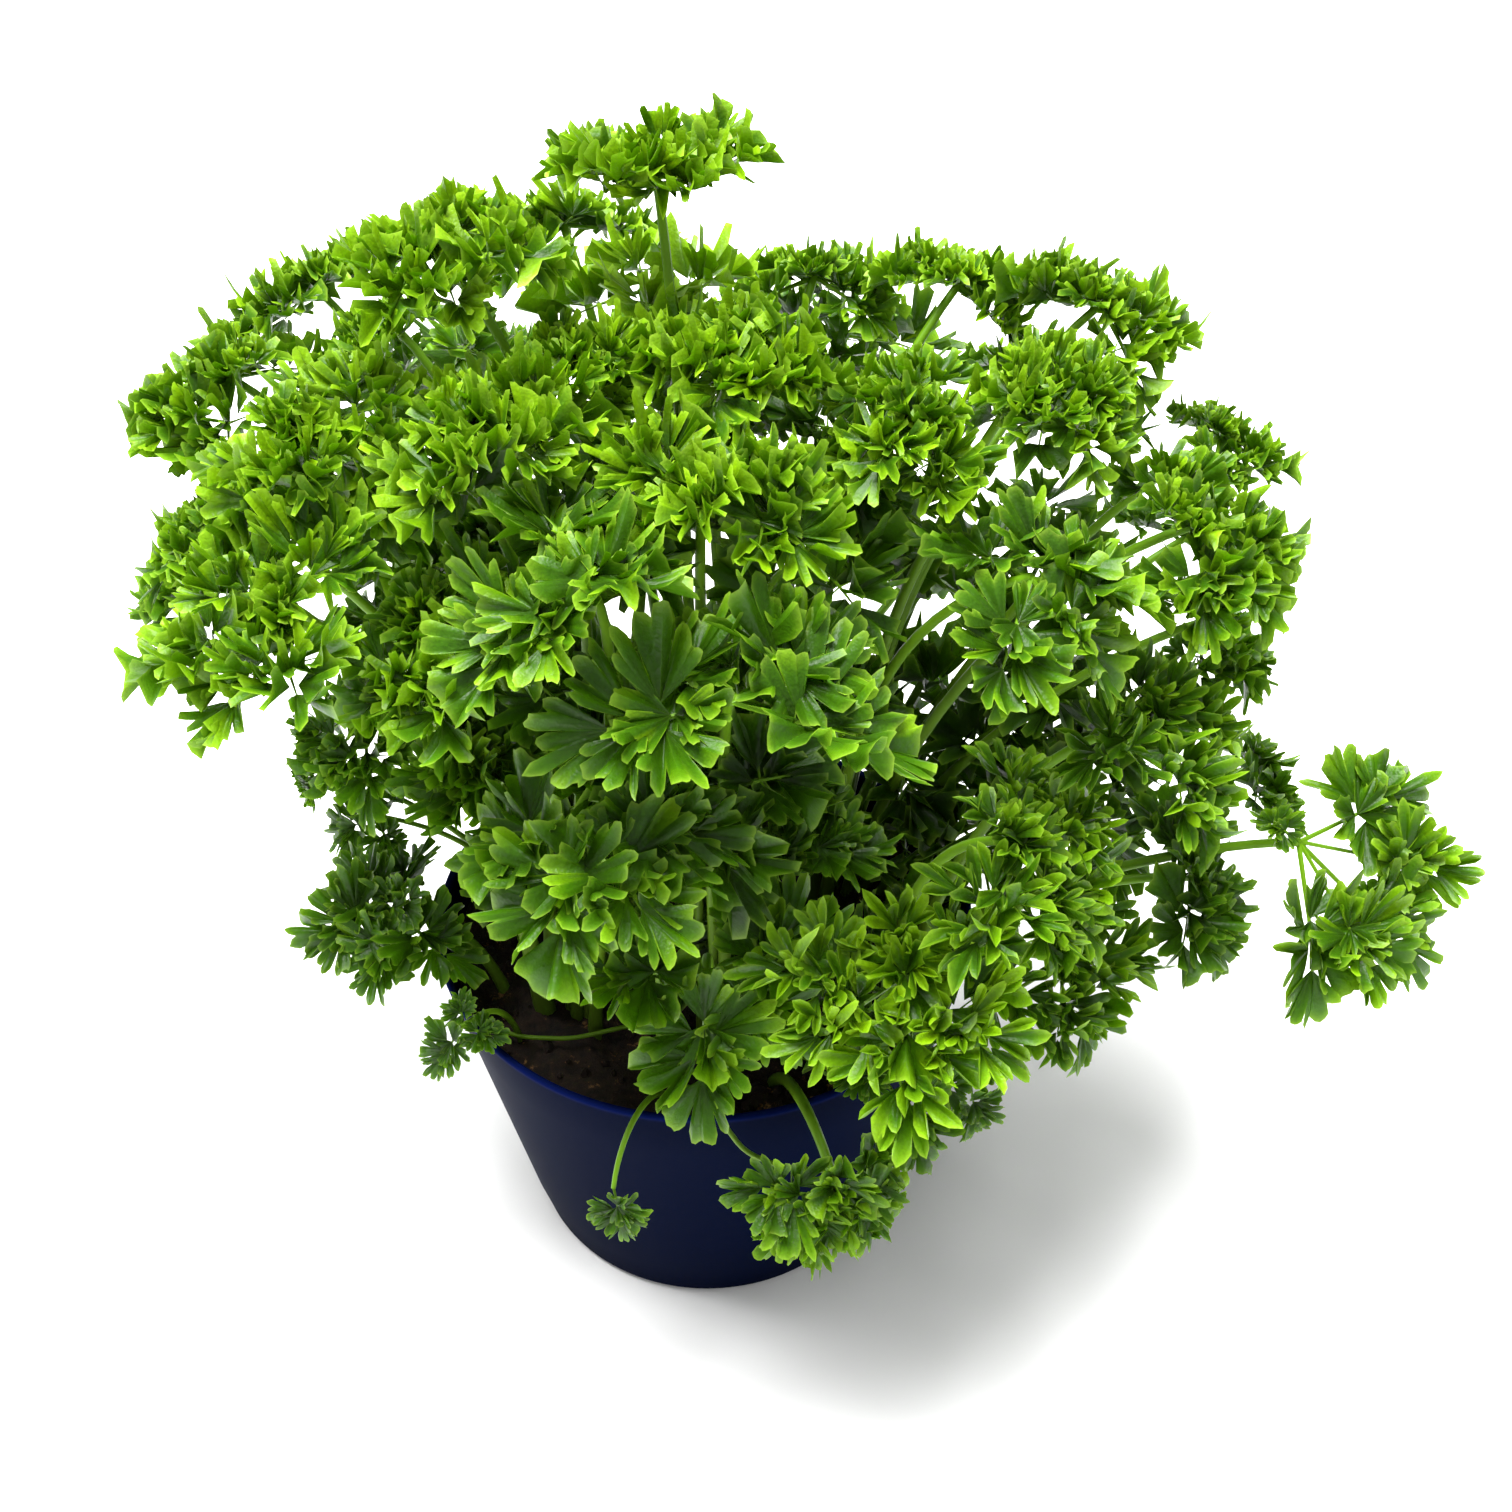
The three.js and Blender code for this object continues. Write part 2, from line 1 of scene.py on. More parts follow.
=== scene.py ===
"""Curly parsley in a plain round plastic pot: the looks of the pot, its compost and its leaves.

Sizes are millimetres in this file until a mesh is made. What a user may change and what the stage
has are in metres. Each leaf is found again in the frame from the solids' own values, so that its
fine blades stand where the solid's coarse ones stand.
"""

import math
from itertools import product

import bmesh
import bpy
import numpy as np
from bpy.props import FloatProperty, FloatVectorProperty, IntProperty, PointerProperty
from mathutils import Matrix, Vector


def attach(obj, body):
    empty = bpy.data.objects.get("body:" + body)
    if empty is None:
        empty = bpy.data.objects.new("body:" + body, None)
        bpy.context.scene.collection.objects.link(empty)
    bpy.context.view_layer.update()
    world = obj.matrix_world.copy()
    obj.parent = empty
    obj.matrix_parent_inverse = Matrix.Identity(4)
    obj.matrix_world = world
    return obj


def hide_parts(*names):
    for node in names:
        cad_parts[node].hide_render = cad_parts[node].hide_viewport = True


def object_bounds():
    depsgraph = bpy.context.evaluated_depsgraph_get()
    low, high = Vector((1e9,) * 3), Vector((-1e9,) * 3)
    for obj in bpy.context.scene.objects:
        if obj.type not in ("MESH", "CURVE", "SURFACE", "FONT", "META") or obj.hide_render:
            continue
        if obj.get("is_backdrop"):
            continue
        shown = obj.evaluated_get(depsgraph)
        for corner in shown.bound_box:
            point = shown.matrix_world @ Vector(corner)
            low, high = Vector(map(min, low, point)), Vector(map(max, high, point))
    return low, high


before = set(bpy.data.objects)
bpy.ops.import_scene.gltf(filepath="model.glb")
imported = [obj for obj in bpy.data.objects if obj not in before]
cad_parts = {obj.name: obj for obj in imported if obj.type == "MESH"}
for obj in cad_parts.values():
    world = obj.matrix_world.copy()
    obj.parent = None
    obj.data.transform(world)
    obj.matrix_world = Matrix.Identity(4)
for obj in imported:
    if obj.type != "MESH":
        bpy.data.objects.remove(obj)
CAD_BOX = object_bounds()

bl_info = {
    "name": "Potted Curly Parsley",
    "version": (1, 0, 0),
    "blender": (4, 5, 0),
    "location": "3D View > Sidebar > Parsley",
    "description": "Builds curly parsley in a round plastic pot, piece by piece",
    "category": "Object",
}

MM = 0.001
UP = np.array([0.0, 0.0, 1.0])
EAST = np.array([1.0, 0.0, 0.0])
# A direction with more up in it than this counts as upright
UPRIGHT = 0.9

# Where each piece's chance begins, and how sharp an edge stays sharp on it, in degrees
SEEDS = {"soil": 7, "inner": 41, "leaf": 100, "solid": 11}
SHARP = {"soil": 40, "pot": 35, "leaf": 50}

# The solids' own values, in millimetres and degrees
POT = {"height": 86, "rim": 60, "foot": 42, "wall": 1.6, "floor": 2.2, "foot_round": 2.4}
DRAIN = {"count": 6, "radius": 4.2, "ring": 29}
GAP = 0.35
SOIL_TOP = 77
SOIL_ROUGHNESS = 1.3
SOIL_WAVES = {"east": (0.31, 1.3), "north": (0.27, -0.4), "slant": 0.52, "slant_share": 0.6}
STALK = {"foot": 1.6, "neck": 1.3, "sides": 3, "steps": 4, "in_soil": 13}
FOOTING = {"near": 3, "far": 22}
BOW = {"lean": 0.12, "lift": 0.34, "arrive": 0.3, "least_lift": 16}
LEAST_RISE = 10
BLADE_ROOT = 0.8
HEART = np.array([5.0, 8.0, 108.0])
FACE_LIFT = 1.1
CROWNS = {
    "front_left": (-25, -17),
    "front": (4, -25),
    "front_right": (31, -10),
    "back_right": (19, 17),
    "back": (-1, 35),
    "back_left": (-24, 15),
}
PLANS = {
    "full": [(0, 0.32, 0.78), (104, 0.34, 0.74), (-104, 0.34, 0.74)],
    "spray": [(0, 0.55, 0.56), (56, 0.4, 0.56), (-56, 0.4, 0.56)],
    "young": [(0, 0.35, 0.8)],
}
LEAFLETS = [(-76, 0.1, 0.72), (0, 0.34, 0.68), (76, 0.1, 0.72)]
EDGE = np.array([
    (-42, 0.86, 0.12),
    (-22, 0.66, -0.08),
    (-9, 1, 0.06),
    (9, 0.97, 0.06),
    (22, 0.66, -0.08),
    (42, 0.86, 0.12),
])
WAVES = (-0.09, 0.13)
NOTCH = {"width": 0.07, "upper": 0.34}
DROOP = 14
DRAW = {"spread": 2654435761, "times": 1664525, "plus": 1013904223, "whole": 2**32}
FOOT_RINGS = [(0, 1), (3.6, 6), (7.2, 9), (11, 12), (15, 14)]
STALK_BOWS = [0, 4, -4, 9, -9]
HEAD_RISES = [0, 4, -4, 8, -8]
HEAD_SLIPS = [0, 6, -6, 12, -12]
BLADE_TILTS = [0, 18, -18, 36, -36, 54, -54, 72]
BLADE_SWINGS = [0, 18, -18, 36, -36, 60, -60]
BLADE_SIZES = [1, 0.85, 0.7, 0.55, 0.42]
# How far from one blade's size, tilt and swing to the next
ONE_STEP = (0.11, 18, 18)

# How far down a stalk's foot is looked for, how near its foot, its rings and a blade's corners
# have to be, all in millimetres, and how many corners have to be there
FOUND = {"sunk": 10, "foot": 0.03, "ring": 0.1, "ring_corners": 6, "corner": 0.05}
CORNERS = {"enough": 15, "least": 8}

# Each leaf: its crown, its head, its span, and what differs from the usual leaf
LEAVES = [
    ("leaf_summit", "back", (-8, 48, 241), 26, {"turn": 150, "droop": -10, "curly": 0.6}),
    ("leaf_top_left", "back_left", (-50, 28, 235), 26, {"turn": 200}),
    ("leaf_bright_top", "back_right", (8, 18, 220), 26, {"turn": 190}),
    ("leaf_centre_high", "front", (2, -24, 215), 27, {"turn": 170}),
    ("leaf_centre_front", "front", (8, -58, 196), 33,
     {"turn": 176, "curly": 0.28, "young": 0.36, "spare": 2}),
    ("leaf_bow", "front_left", (-24, -40, 211), 28,
     {"turn": 90, "curly": 0.36, "young": 0.4, "spare": 2}),
    ("leaf_centre_left", "front_left", (-40, -8, 220), 27, {"turn": 185}),
    ("leaf_centre_back", "back_left", (-24, 16, 219), 22, {"turn": 160}),
    ("leaf_left_front", "back_left", (-72, -2, 214), 26, {"turn": 150}),
    ("leaf_left_bright", "front_left", (-74, -40, 199), 28,
     {"turn": -25, "droop": 2, "foot": 2.3, "curly": 0.5}),
    ("leaf_left_inner", "front_left", (-48, -34, 192), 26, {"turn": 60}),
    ("leaf_left_mid", "back_left", (-94, 10, 186), 22, {"turn": 20}),
    ("leaf_left_shoulder", "back_left", (-96, 40, 200), 28, {"turn": 10}),
    ("leaf_left_low_back", "back_left", (-104, 30, 160), 24, {"turn": -10}),
    ("leaf_left_inner_small", "back_left", (-63, 50, 206), 16, {"turn": 30}),
    ("leaf_back_left", "back", (-84, 74, 202), 24, {}),
    ("leaf_back_left_mid", "back", (-30, 82, 212), 24, {"turn": 20}),
    ("leaf_back_centre", "back", (24, 74, 204), 22, {}),
    ("leaf_back_right", "back", (54, 62, 209), 22, {"turn": 15}),
    ("leaf_back_far_right", "back_right", (82, 50, 211), 26, {"turn": 25}),
    ("leaf_right_upper", "back_right", (73, 14, 213), 22, {"turn": 170}),
    ("leaf_right_top_front", "back_right", (41, 6, 212), 25, {"turn": 175}),
    ("leaf_right_centre", "back_right", (62, -24, 197), 31,
     {"turn": 30, "curly": 0.32, "young": 0.36, "spare": 2}),
    ("leaf_right_big", "back_right", (96, -2, 193), 28, {"turn": 10}),
    ("leaf_right_behind", "back_right", (109, 42, 184), 18, {"turn": -20}),
    ("leaf_right_low_back", "back_right", (106, 18, 154), 22, {}),
    ("leaf_right_curly", "front_right", (90, -24, 162), 29,
     {"turn": -15, "curly": 0.8, "habit": "fingered"}),
    ("leaf_inner_dark", "back_right", (33, 26, 174), 26, {"turn": 90}),
    ("leaf_inner_left", "back_left", (-45, 20, 176), 25, {"turn": 30}),
    ("leaf_lower_left", "front_left", (-44, -24, 163), 26, {"turn": 20, "spare": 1}),
    ("leaf_left_under", "back_left", (-70, 2, 143), 24, {"turn": -20}),
    ("leaf_front_left", "front_left", (-20, -60, 170), 31,
     {"turn": 10, "curly": 0.22, "young": 0.36, "spare": 1}),
    ("leaf_lower_centre", "front", (2, -60, 130), 30,
     {"curly": 0.18, "young": 0.42, "spare": 1}),
    ("leaf_lower_back", "front", (16, -34, 138), 25, {"turn": 160}),
    ("leaf_right_front", "front_right", (39, -70, 140), 31,
     {"turn": -20, "curly": 0.75, "young": 0.55, "habit": "fingered"}),
    ("leaf_right_front_upper", "front_right", (62, -50, 154), 30,
     {"turn": 20, "curly": 0.65, "young": 0.45, "habit": "fingered"}),
    ("leaf_right_front_lower", "front_right", (74, -40, 112), 27,
     {"curly": 0.6, "young": 0.35, "habit": "fingered"}),
    ("leaf_right_low", "front_right", (104, -16, 112), 24, {"turn": 15}),
    ("leaf_right_spray", "front_right", (122, -22, 119), 38,
     {"plan": "spray", "turn": -28, "droop": 4, "face": (-75, 52), "curly": 0.4, "young": 0.44}),
    ("leaf_right_small", "back_right", (122, 22, 106), 18, {}),
    ("leaf_hang_front", "front", (28, -79, 85), 22,
     {"face": (-70, 15), "curly": 0.41, "young": 0.4}),
    ("leaf_hang_shaded", "front_right", (40, -60, 100), 18,
     {"plan": "young", "face": (-50, 45)}),
    ("leaf_hang_small", "front", (-20, -64, 76), 13,
     {"plan": "young", "face": (-112, 20), "curly": 0.1, "spare": 0}),
    ("leaf_rim_left", "front_left", (-50, -40, 92), 12, {"plan": "young", "face": (-140, 50)}),
    ("leaf_left_flat", "front_left", (-67, -14, 100), 22, {"face": (-120, 62), "curly": 0.15}),
    ("leaf_left_dark", "back_left", (-74, 14, 102), 16, {"plan": "young", "face": (-150, 50)}),
    ("leaf_left_pale", "back_left", (-92, 26, 106), 15,
     {"plan": "young", "face": (180, 20), "young": 0.4}),
    ("leaf_rim_right", "front_right", (56, -50, 86), 14, {"plan": "young", "face": (-40, 40)}),
    ("leaf_rear_left", "back_left", (-98, 78, 148), 24, {"turn": 10}),
    ("leaf_rear_left_high", "back", (-58, 102, 166), 25, {}),
    ("leaf_rear_middle", "back", (-10, 114, 170), 25, {"turn": 15}),
    ("leaf_rear_right", "back", (36, 106, 160), 24, {"turn": -15}),
    ("leaf_rear_right_high", "back_right", (78, 90, 170), 25, {}),
    ("leaf_rear_far_right", "back_right", (112, 68, 140), 22, {"turn": 10}),
    ("leaf_rear_low_right", "back", (52, 92, 114), 22, {}),
    ("leaf_rear_low_left", "back", (-34, 94, 116), 22, {}),
]


# Numbers and directions

def radians(degrees):
    """Degrees as radians, one or many."""
    return np.asarray(degrees, float) * math.pi / 180


def unit(v):
    """A direction at a length of one."""
    return v / np.linalg.norm(v, axis=-1, keepdims=True)


def dot(a, b):
    """The dot product of each pair."""
    return np.sum(a * b, axis=-1, keepdims=True)


def draws_from(seed):
    """A seeded draw between two numbers, the same on every run."""
    state = seed * DRAW["spread"] % DRAW["whole"]

    def draw(low, high):
        nonlocal state
        state = (state * DRAW["times"] + DRAW["plus"]) % DRAW["whole"]
        return low + (high - low) * state / DRAW["whole"]

    return draw


def soil_height(x, y):
    """The compost's uneven top, with the solid's own waves."""
    (east, shift), (north, back) = SOIL_WAVES["east"], SOIL_WAVES["north"]
    slant = SOIL_WAVES["slant_share"] * np.sin(SOIL_WAVES["slant"] * (x + y))
    return SOIL_TOP + SOIL_ROUGHNESS * (np.sin(east * x + shift) * np.cos(north * y + back) + slant)


def inner_radius(z):
    """The radius of the pot's inside at a height."""
    return POT["foot"] + (POT["rim"] - POT["foot"]) * z / POT["height"] - POT["wall"]


# Finding each leaf again in the frame

def stalk_ways():
    """Every way a stalk may have grown: east, north, bow, rise, slip."""
    feet = []
    for radius, count in FOOT_RINGS:
        for angle in [2 * math.pi * i / count for i in range(count)]:
            feet.append((radius * math.cos(angle), radius * math.sin(angle)))
    ways = product(feet, STALK_BOWS, HEAD_RISES, HEAD_SLIPS)
    return np.array([(*foot, bow, rise, slip) for foot, bow, rise, slip in ways])


def leaf_frame(leaf, rise, slip):
    """A leaf's directions at its head, for one way or for a list of ways."""
    _, _, head, _, more = leaf
    head = np.array(head, float)
    outward = unit(np.array([head[0], head[1], 0.0]))
    if "face" in more:
        bearing, elevation = radians(more["face"])
        level = math.cos(elevation)
        face = np.array([math.cos(bearing) * level, math.sin(bearing) * level, math.sin(elevation)])
    else:
        face = unit(unit(head - HEART) + UP * FACE_LIFT)
    straight = unit(outward - face * dot(outward, face))
    turn = radians(more.get("turn", 0))
    across = np.cross(face, straight)
    rise = np.asarray(rise, float)[..., None]
    slip = np.asarray(slip, float)[..., None]
    along = straight * math.cos(turn) + across * math.sin(turn)
    return {
        "head": head + face * rise + across * slip,
        "face": face,
        "straight": straight,
        "along": along,
        "side": np.cross(face, along),
    }


def stalk_controls(leaf, around, east, north, bow):
    """The four control points of a stalk's curve."""
    head = around["head"]
    crown = np.array(CROWNS[leaf[1]], float)
    flat = head[..., :2] - crown
    distance = np.linalg.norm(flat, axis=-1)
    rise = np.maximum(head[..., 2] - SOIL_TOP, LEAST_RISE)
    lean = distance / (distance + rise)
    bearing = flat / distance[..., None]
    foot = np.empty_like(head)
    start = FOOTING["near"] + FOOTING["far"] * lean
    foot[..., 0] = crown[0] + start * bearing[..., 0] + east
    foot[..., 1] = crown[1] + start * bearing[..., 1] + north
    foot[..., 2] = SOIL_TOP - STALK["in_soil"]
    east_of, north_of = head[..., 0] - foot[..., 0], head[..., 1] - foot[..., 1]
    length = np.sqrt(east_of**2 + north_of**2 + rise**2)
    sideways = np.zeros_like(head)
    sideways[..., 0] = -bearing[..., 1] * bow
    sideways[..., 1] = bearing[..., 0] * bow
    lower = foot + sideways
    lower[..., :2] += (BOW["lean"] * length * lean)[..., None] * bearing
    lower[..., 2] = SOIL_TOP + np.maximum(BOW["lift"] * rise, BOW["least_lift"])
    arriving = unit(around["face"] + around["straight"])
    upper = head - arriving * (BOW["arrive"] * length)[..., None] + sideways
    upper[..., 2] = np.maximum(upper[..., 2], SOIL_TOP + BOW["least_lift"])
    return foot, lower, upper, head


def curve_point(controls, t):
    """A point of a stalk's curve, t from 0 at its foot to 1 at its head."""
    a, b, c, d = controls
    s = 1 - t
    return a * s**3 + b * 3 * s * s * t + c * 3 * s * t * t + d * t**3


def curve_ahead(controls, t):
    """The curve's direction there."""
    a, b, c, d = controls
    s = 1 - t
    return unit((b - a) * s * s + (c - b) * 2 * s * t + (d - c) * t * t)


def ring_directions(controls, t):
    """The two directions that a stalk's ring of corners lies in."""
    ahead = curve_ahead(controls, t)
    head = controls[3]
    level = np.zeros_like(head)
    level[..., 0] = -head[..., 1]
    level[..., 1] = head[..., 0]
    level = unit(level)
    across = unit(level - ahead * dot(level, ahead))
    return across, np.cross(ahead, across)


def nearest(points, cloud):
    """How far each point is from the nearest point of a cloud."""
    return np.sqrt(((points[..., None, :] - cloud) ** 2).sum(-1).min(-1))


def find_stalk(leaf, cloud, ways):
    """The way a leaf's stalk grew: its three lowest corners and its next rings give it away."""
    foot = leaf[4].get("foot", STALK["foot"])
    in_pot = np.hypot(cloud[:, 0], cloud[:, 1]) < POT["rim"]
    low = cloud[in_pot & (cloud[:, 2] < SOIL_TOP - FOUND["sunk"])]
    around = leaf_frame(leaf, ways[:, 3], ways[:, 4])
    controls = stalk_controls(leaf, around, ways[:, 0], ways[:, 1], ways[:, 2])
    across, _ = ring_directions(controls, 0.0)
    miss = nearest(controls[0] + across * foot, low)
    least, found = math.inf, None
    for i in np.nonzero(miss < miss.min() + FOUND["foot"])[0]:
        one = [c[i] for c in controls]
        rings = []
        for t in np.arange(1, STALK["steps"]) / STALK["steps"]:
            radius = foot + (STALK["neck"] - foot) * t
            across, over = ring_directions(one, t)
            for angle in [2 * math.pi * k / STALK["sides"] for k in range(STALK["sides"])]:
                spoke = across * math.cos(angle) + over * math.sin(angle)
                rings.append(curve_point(one, t) + radius * spoke)
        apart = np.sort(nearest(np.array(rings), cloud))[: FOUND["ring_corners"]].max()
        if apart < least:
            least, found = apart, i
    if least > FOUND["ring"]:
        raise RuntimeError(f"{leaf[0]}: its stalk isn't found in the frame, {least:.2f} mm off")
    return leaf_frame(leaf, *ways[found, 3:]), [c[found] for c in controls]


# What a branch has by chance, in degrees and shares: where its solid has it, where only this file
# has it, and on an inner leaf. They are drawn in this order
CHANCES = {
    "solid": {
        "bearing": (-9, 9),
        "droop": (-10, 14),
        "roll": (-22, 22),
        "reach": (0.92, 1.08),
        "size": (0.94, 1.1),
        "fold": (-0.1, 0.34),
        "curl": (0.05, 0.4),
    },
    "more": {
        "bearing": (-10, 10),
        "droop": (-10, 12),
        "roll": (-24, 24),
        "reach": (0.9, 1.1),
        "size": (0.9, 1.12),
        "fold": (-0.05, 0.35),
        "curl": (0.05, 0.4),
    },
    "inner": {
        "bearing": (-14, 14),
        "droop": (-10, 26),
        "roll": (-24, 24),
        "reach": (0.8, 1.2),
        "size": (0.9, 1.12),
        "fold": (-0.05, 0.3),
        "curl": (0.05, 0.4),
    },
}


def draw_branch(draw, sort, bearing, droop, reach, size):
    """A branch of a leaf's head: where it is meant to be, and what it has by chance."""
    branch = {key: draw(*limits) for key, limits in CHANCES[sort].items()}
    branch["bearing"] += bearing
    branch["droop"] += droop
    branch["reach"] *= reach
    branch["size"] *= size
    return branch


def leaf_plan(leaf, draw):
    """The branches that a leaf's solid has, from the solid's own draws."""
    _, _, _, span, more = leaf
    branches = []
    for bearing, reach, size in PLANS[more.get("plan", "full")]:
        meant = (bearing, more.get("droop", DROOP), reach * span, size * span)
        branch = draw_branch(draw, "solid", *meant)
        branch["waves"] = [[draw(*WAVES) for _ in EDGE] for _ in LEAFLETS]
        branches.append(branch)
    return branches


def blade_place(around, branch, way=(1, 0, 0)):
    """Where a point of a blade's plan goes: x along its rib, y across it, lift off its face."""
    size, tilt, swing = way
    bearing = radians(branch["bearing"] + swing)
    droop = radians(branch["droop"] - tilt)
    roll = radians(branch["roll"])
    size = branch["size"] * size
    face, along, side = around["face"], around["along"], around["side"]
    flat = along * math.cos(bearing) + side * math.sin(bearing)
    out = flat * math.cos(droop) - face * math.sin(droop)
    top = face * math.cos(droop) + flat * math.sin(droop)
    level = np.cross(top, out)
    across = level * math.cos(roll) + top * math.sin(roll)
    over = top * math.cos(roll) - level * math.sin(roll)
    base = around["head"] + out * branch["reach"]

    def place(x, y, lift):
        x, y, lift = (np.asarray(v, float)[..., None] for v in (x, y, lift))
        bend = branch["fold"] * np.abs(y) - branch["curl"] * np.maximum(x, 0) ** 2
        return base + out * x * size + across * y * size + over * (bend + lift) * size

    return place, size


def coarse_rim(branch, size):
    """The corners of the coarse blade's outline."""
    half = BLADE_ROOT / 2 / size
    root = -branch["reach"] / size
    rows = []
    for (bearing, spring, length), waves in zip(LEAFLETS, branch["waves"]):
        row = []
        for (angle, out, wave), more in zip(EDGE, waves):
            direction, far = radians(bearing + angle), out * length
            point = (spring + far * math.cos(direction), far * math.sin(direction), wave + more)
            row.append(point)
        rows.append(row)
    width, upper = NOTCH["width"], NOTCH["upper"]
    rim = [(root, -half, 0), (0, -width, 0)] + rows[0] + [(upper, -width, 0)] + rows[1]
    return np.array(rim + [(upper, width, 0)] + rows[2] + [(0, width, 0), (root, half, 0)])


def find_blade(leaf, cloud, around, branch):
    """The way a blade opened: the first whose coarse corners are in the frame."""
    size_step, tilt_step, swing_step = ONE_STEP
    most, found = -1, None
    for way in sorted(
        product(BLADE_SIZES, BLADE_TILTS, BLADE_SWINGS),
        key=lambda w: math.hypot((1 - w[0]) / size_step, w[1] / tilt_step, w[2] / swing_step),
    ):
        place, real = blade_place(around, branch, way)
        miss = nearest(place(*coarse_rim(branch, real).T), cloud)
        corners = (miss < FOUND["corner"]).sum()
        if corners > most:
            most, found = corners, way
        if corners > CORNERS["enough"]:
            break
    if most < CORNERS["least"]:
        raise RuntimeError(f"{leaf[0]}: a blade isn't found in the frame, only {most} corners are")
    return found


def cloud_of(node):
    """The corners of a node of the frame, in millimetres."""
    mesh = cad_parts[node].data
    points = np.empty(len(mesh.vertices) * 3, np.float32)
    mesh.vertices.foreach_get("co", points)
    return np.unique((points.reshape(-1, 3) / MM).astype(float).round(3), axis=0)


# Meshes

# A leaf's two materials, by their places on its piece
BLADE, STALKS = 0, 1


class Mould:
    """Vertices, faces and shading values of one piece, gathered patch by patch."""

    VALUES = ("vein", "margin", "young", "along")

    def __init__(self):
        self.points = []
        self.quads = []
        self.tris = []
        self.values = {name: [] for name in self.VALUES}
        self.count = 0

    def add(self, points, quads=(), tris=(), kind=BLADE, **values):
        """Add a patch whose faces count from its own first point."""
        points = np.asarray(points, float)
        if len(quads):
            self.quads.append((np.asarray(quads, int) + self.count, kind))
        if len(tris):
            self.tris.append((np.asarray(tris, int) + self.count, kind))
        self.points.append(points)
        for name in self.VALUES:
            value = np.asarray(values.get(name, 0.0), float)
            self.values[name].append(np.broadcast_to(value, (len(points),)))
        self.count += len(points)

    def build(self, name, materials, sharp=SHARP["leaf"]):
        """Make the piece; edges sharper than so many degrees stay sharp."""
        points = np.concatenate(self.points) * MM
        faces, kinds = [], []
        for patch, kind in self.quads + self.tris:
            faces.extend(patch.tolist())
            kinds.extend([kind] * len(patch))
        mesh = bpy.data.meshes.new(name)
        mesh.from_pydata(points.tolist(), [], faces)
        for value in self.VALUES:
            layer = mesh.attributes.new(value, "FLOAT", "POINT")
            layer.data.foreach_set("value", np.concatenate(self.values[value]).astype(np.float32))
        for material in materials:
            mesh.materials.append(material)
        mesh.polygons.foreach_set("material_index", kinds)
        mesh.polygons.foreach_set("use_smooth", [True] * len(faces))
        mesh.update()
        mesh.set_sharp_from_angle(angle=math.radians(sharp))
        return link(name, mesh)


def link(name, data):
    """Put a mesh, a lamp or a camera in the scene under a name."""
    piece = bpy.data.objects.new(name, data)
    bpy.context.scene.collection.objects.link(piece)
    return piece


def mesh_of(name, points, faces):
    """A mesh from points in millimetres."""
    mesh = bpy.data.meshes.new(name)
    mesh.from_pydata([(x * MM, y * MM, z * MM) for x, y, z in points], [], faces)
    return mesh


def ring_quads(rows, around):
    """The faces between rows of points, each row a closed ring."""
    quads = []
    for i in range(rows - 1):
        for k in range(around):
            j = (k + 1) % around
            low, high = i * around, (i + 1) * around
            quads.append((low + k, low + j, high + j, high + k))
    return np.array(quads)


def add_tube(mould, middles, radii, sides, **values):
    """A closed round stalk along a row of points."""
    middles = np.asarray(middles, float)
    steps = len(middles)
    radii = np.broadcast_to(np.asarray(radii, float), (steps,))
    ahead = unit(np.gradient(middles, axis=0))
    across = unit(np.cross(ahead[0], UP if abs(ahead[0][2]) < UPRIGHT else EAST))
    angle = np.arange(sides) / sides * 2 * math.pi
    cos, sin = np.cos(angle)[:, None], np.sin(angle)[:, None]
    rings = []
    for middle, radius, direction in zip(middles, radii, ahead):
        across = unit(across - direction * np.dot(across, direction))
        over = np.cross(direction, across)
        rings.append(middle + across * (radius * cos) + over * (radius * sin))
    points = np.concatenate(rings + [middles[:1], middles[-1:]])
    first, last = steps * sides, steps * sides + 1
    tris = []
    for k in range(sides):
        j = (k + 1) % sides
        tris += [(first, j, k), (last, first - sides + k, first - sides + j)]
    for name, value in values.items():
        value = np.broadcast_to(np.asarray(value, float), (steps,))
        values[name] = np.concatenate([np.repeat(value, sides), value[:1], value[-1:]])
    mould.add(points, ring_quads(steps, sides), tris, STALKS, **values)


# A division of a blade is a fan of lobes. For each lobe: where it begins and ends in degrees off
# the division's rib, and its length as a share of the division's. The cuts before, between and
# after the lobes reach in to these shares. Steps are places across a lobe, from -1 to 1, and how
# far out its edge is there.
BROAD_LOBES = [
    (-52, -35, 0.78),
    (-35, -18, 0.93),
    (-18, 0, 1.0),
    (0, 18, 1.0),
    (18, 35, 0.93),
    (35, 52, 0.78),
]
BROAD_CUTS = [0.3, 0.8, 0.5, 0.86, 0.5, 0.8, 0.3]
BROAD_STEPS = ([-1, -0.74, -0.34, 0, 0.34, 0.74], [0, 0.74, 0.97, 1.07, 0.97, 0.74])
RUFFLED_LOBES = [(-42, -26, 0.76), (-26, -9, 0.93), (-9, 9, 1.0), (9, 26, 0.93), (26, 42, 0.76)]
RUFFLED_CUTS = [0.3, 0.72, 0.78, 0.66, 0.78, 0.3]
RUFFLED_STEPS = ([-1, -0.64, 0, 0.64], [0, 0.93, 1.05, 0.93])
SHADED_STEPS = ([-1, -0.45, 0.35], [0, 0.95, 1.0])
FINGER_LOBES = [(-33, -11, 0.84), (-11, 11, 1.0), (11, 33, 0.84)]
FINGER_CUTS = [0.3, 0.52, 0.52, 0.3]
FINGER_STEPS = ([-1, -0.84, -0.48, 0, 0.48, 0.84], [0, 0.56, 0.88, 1.06, 0.88, 0.56])


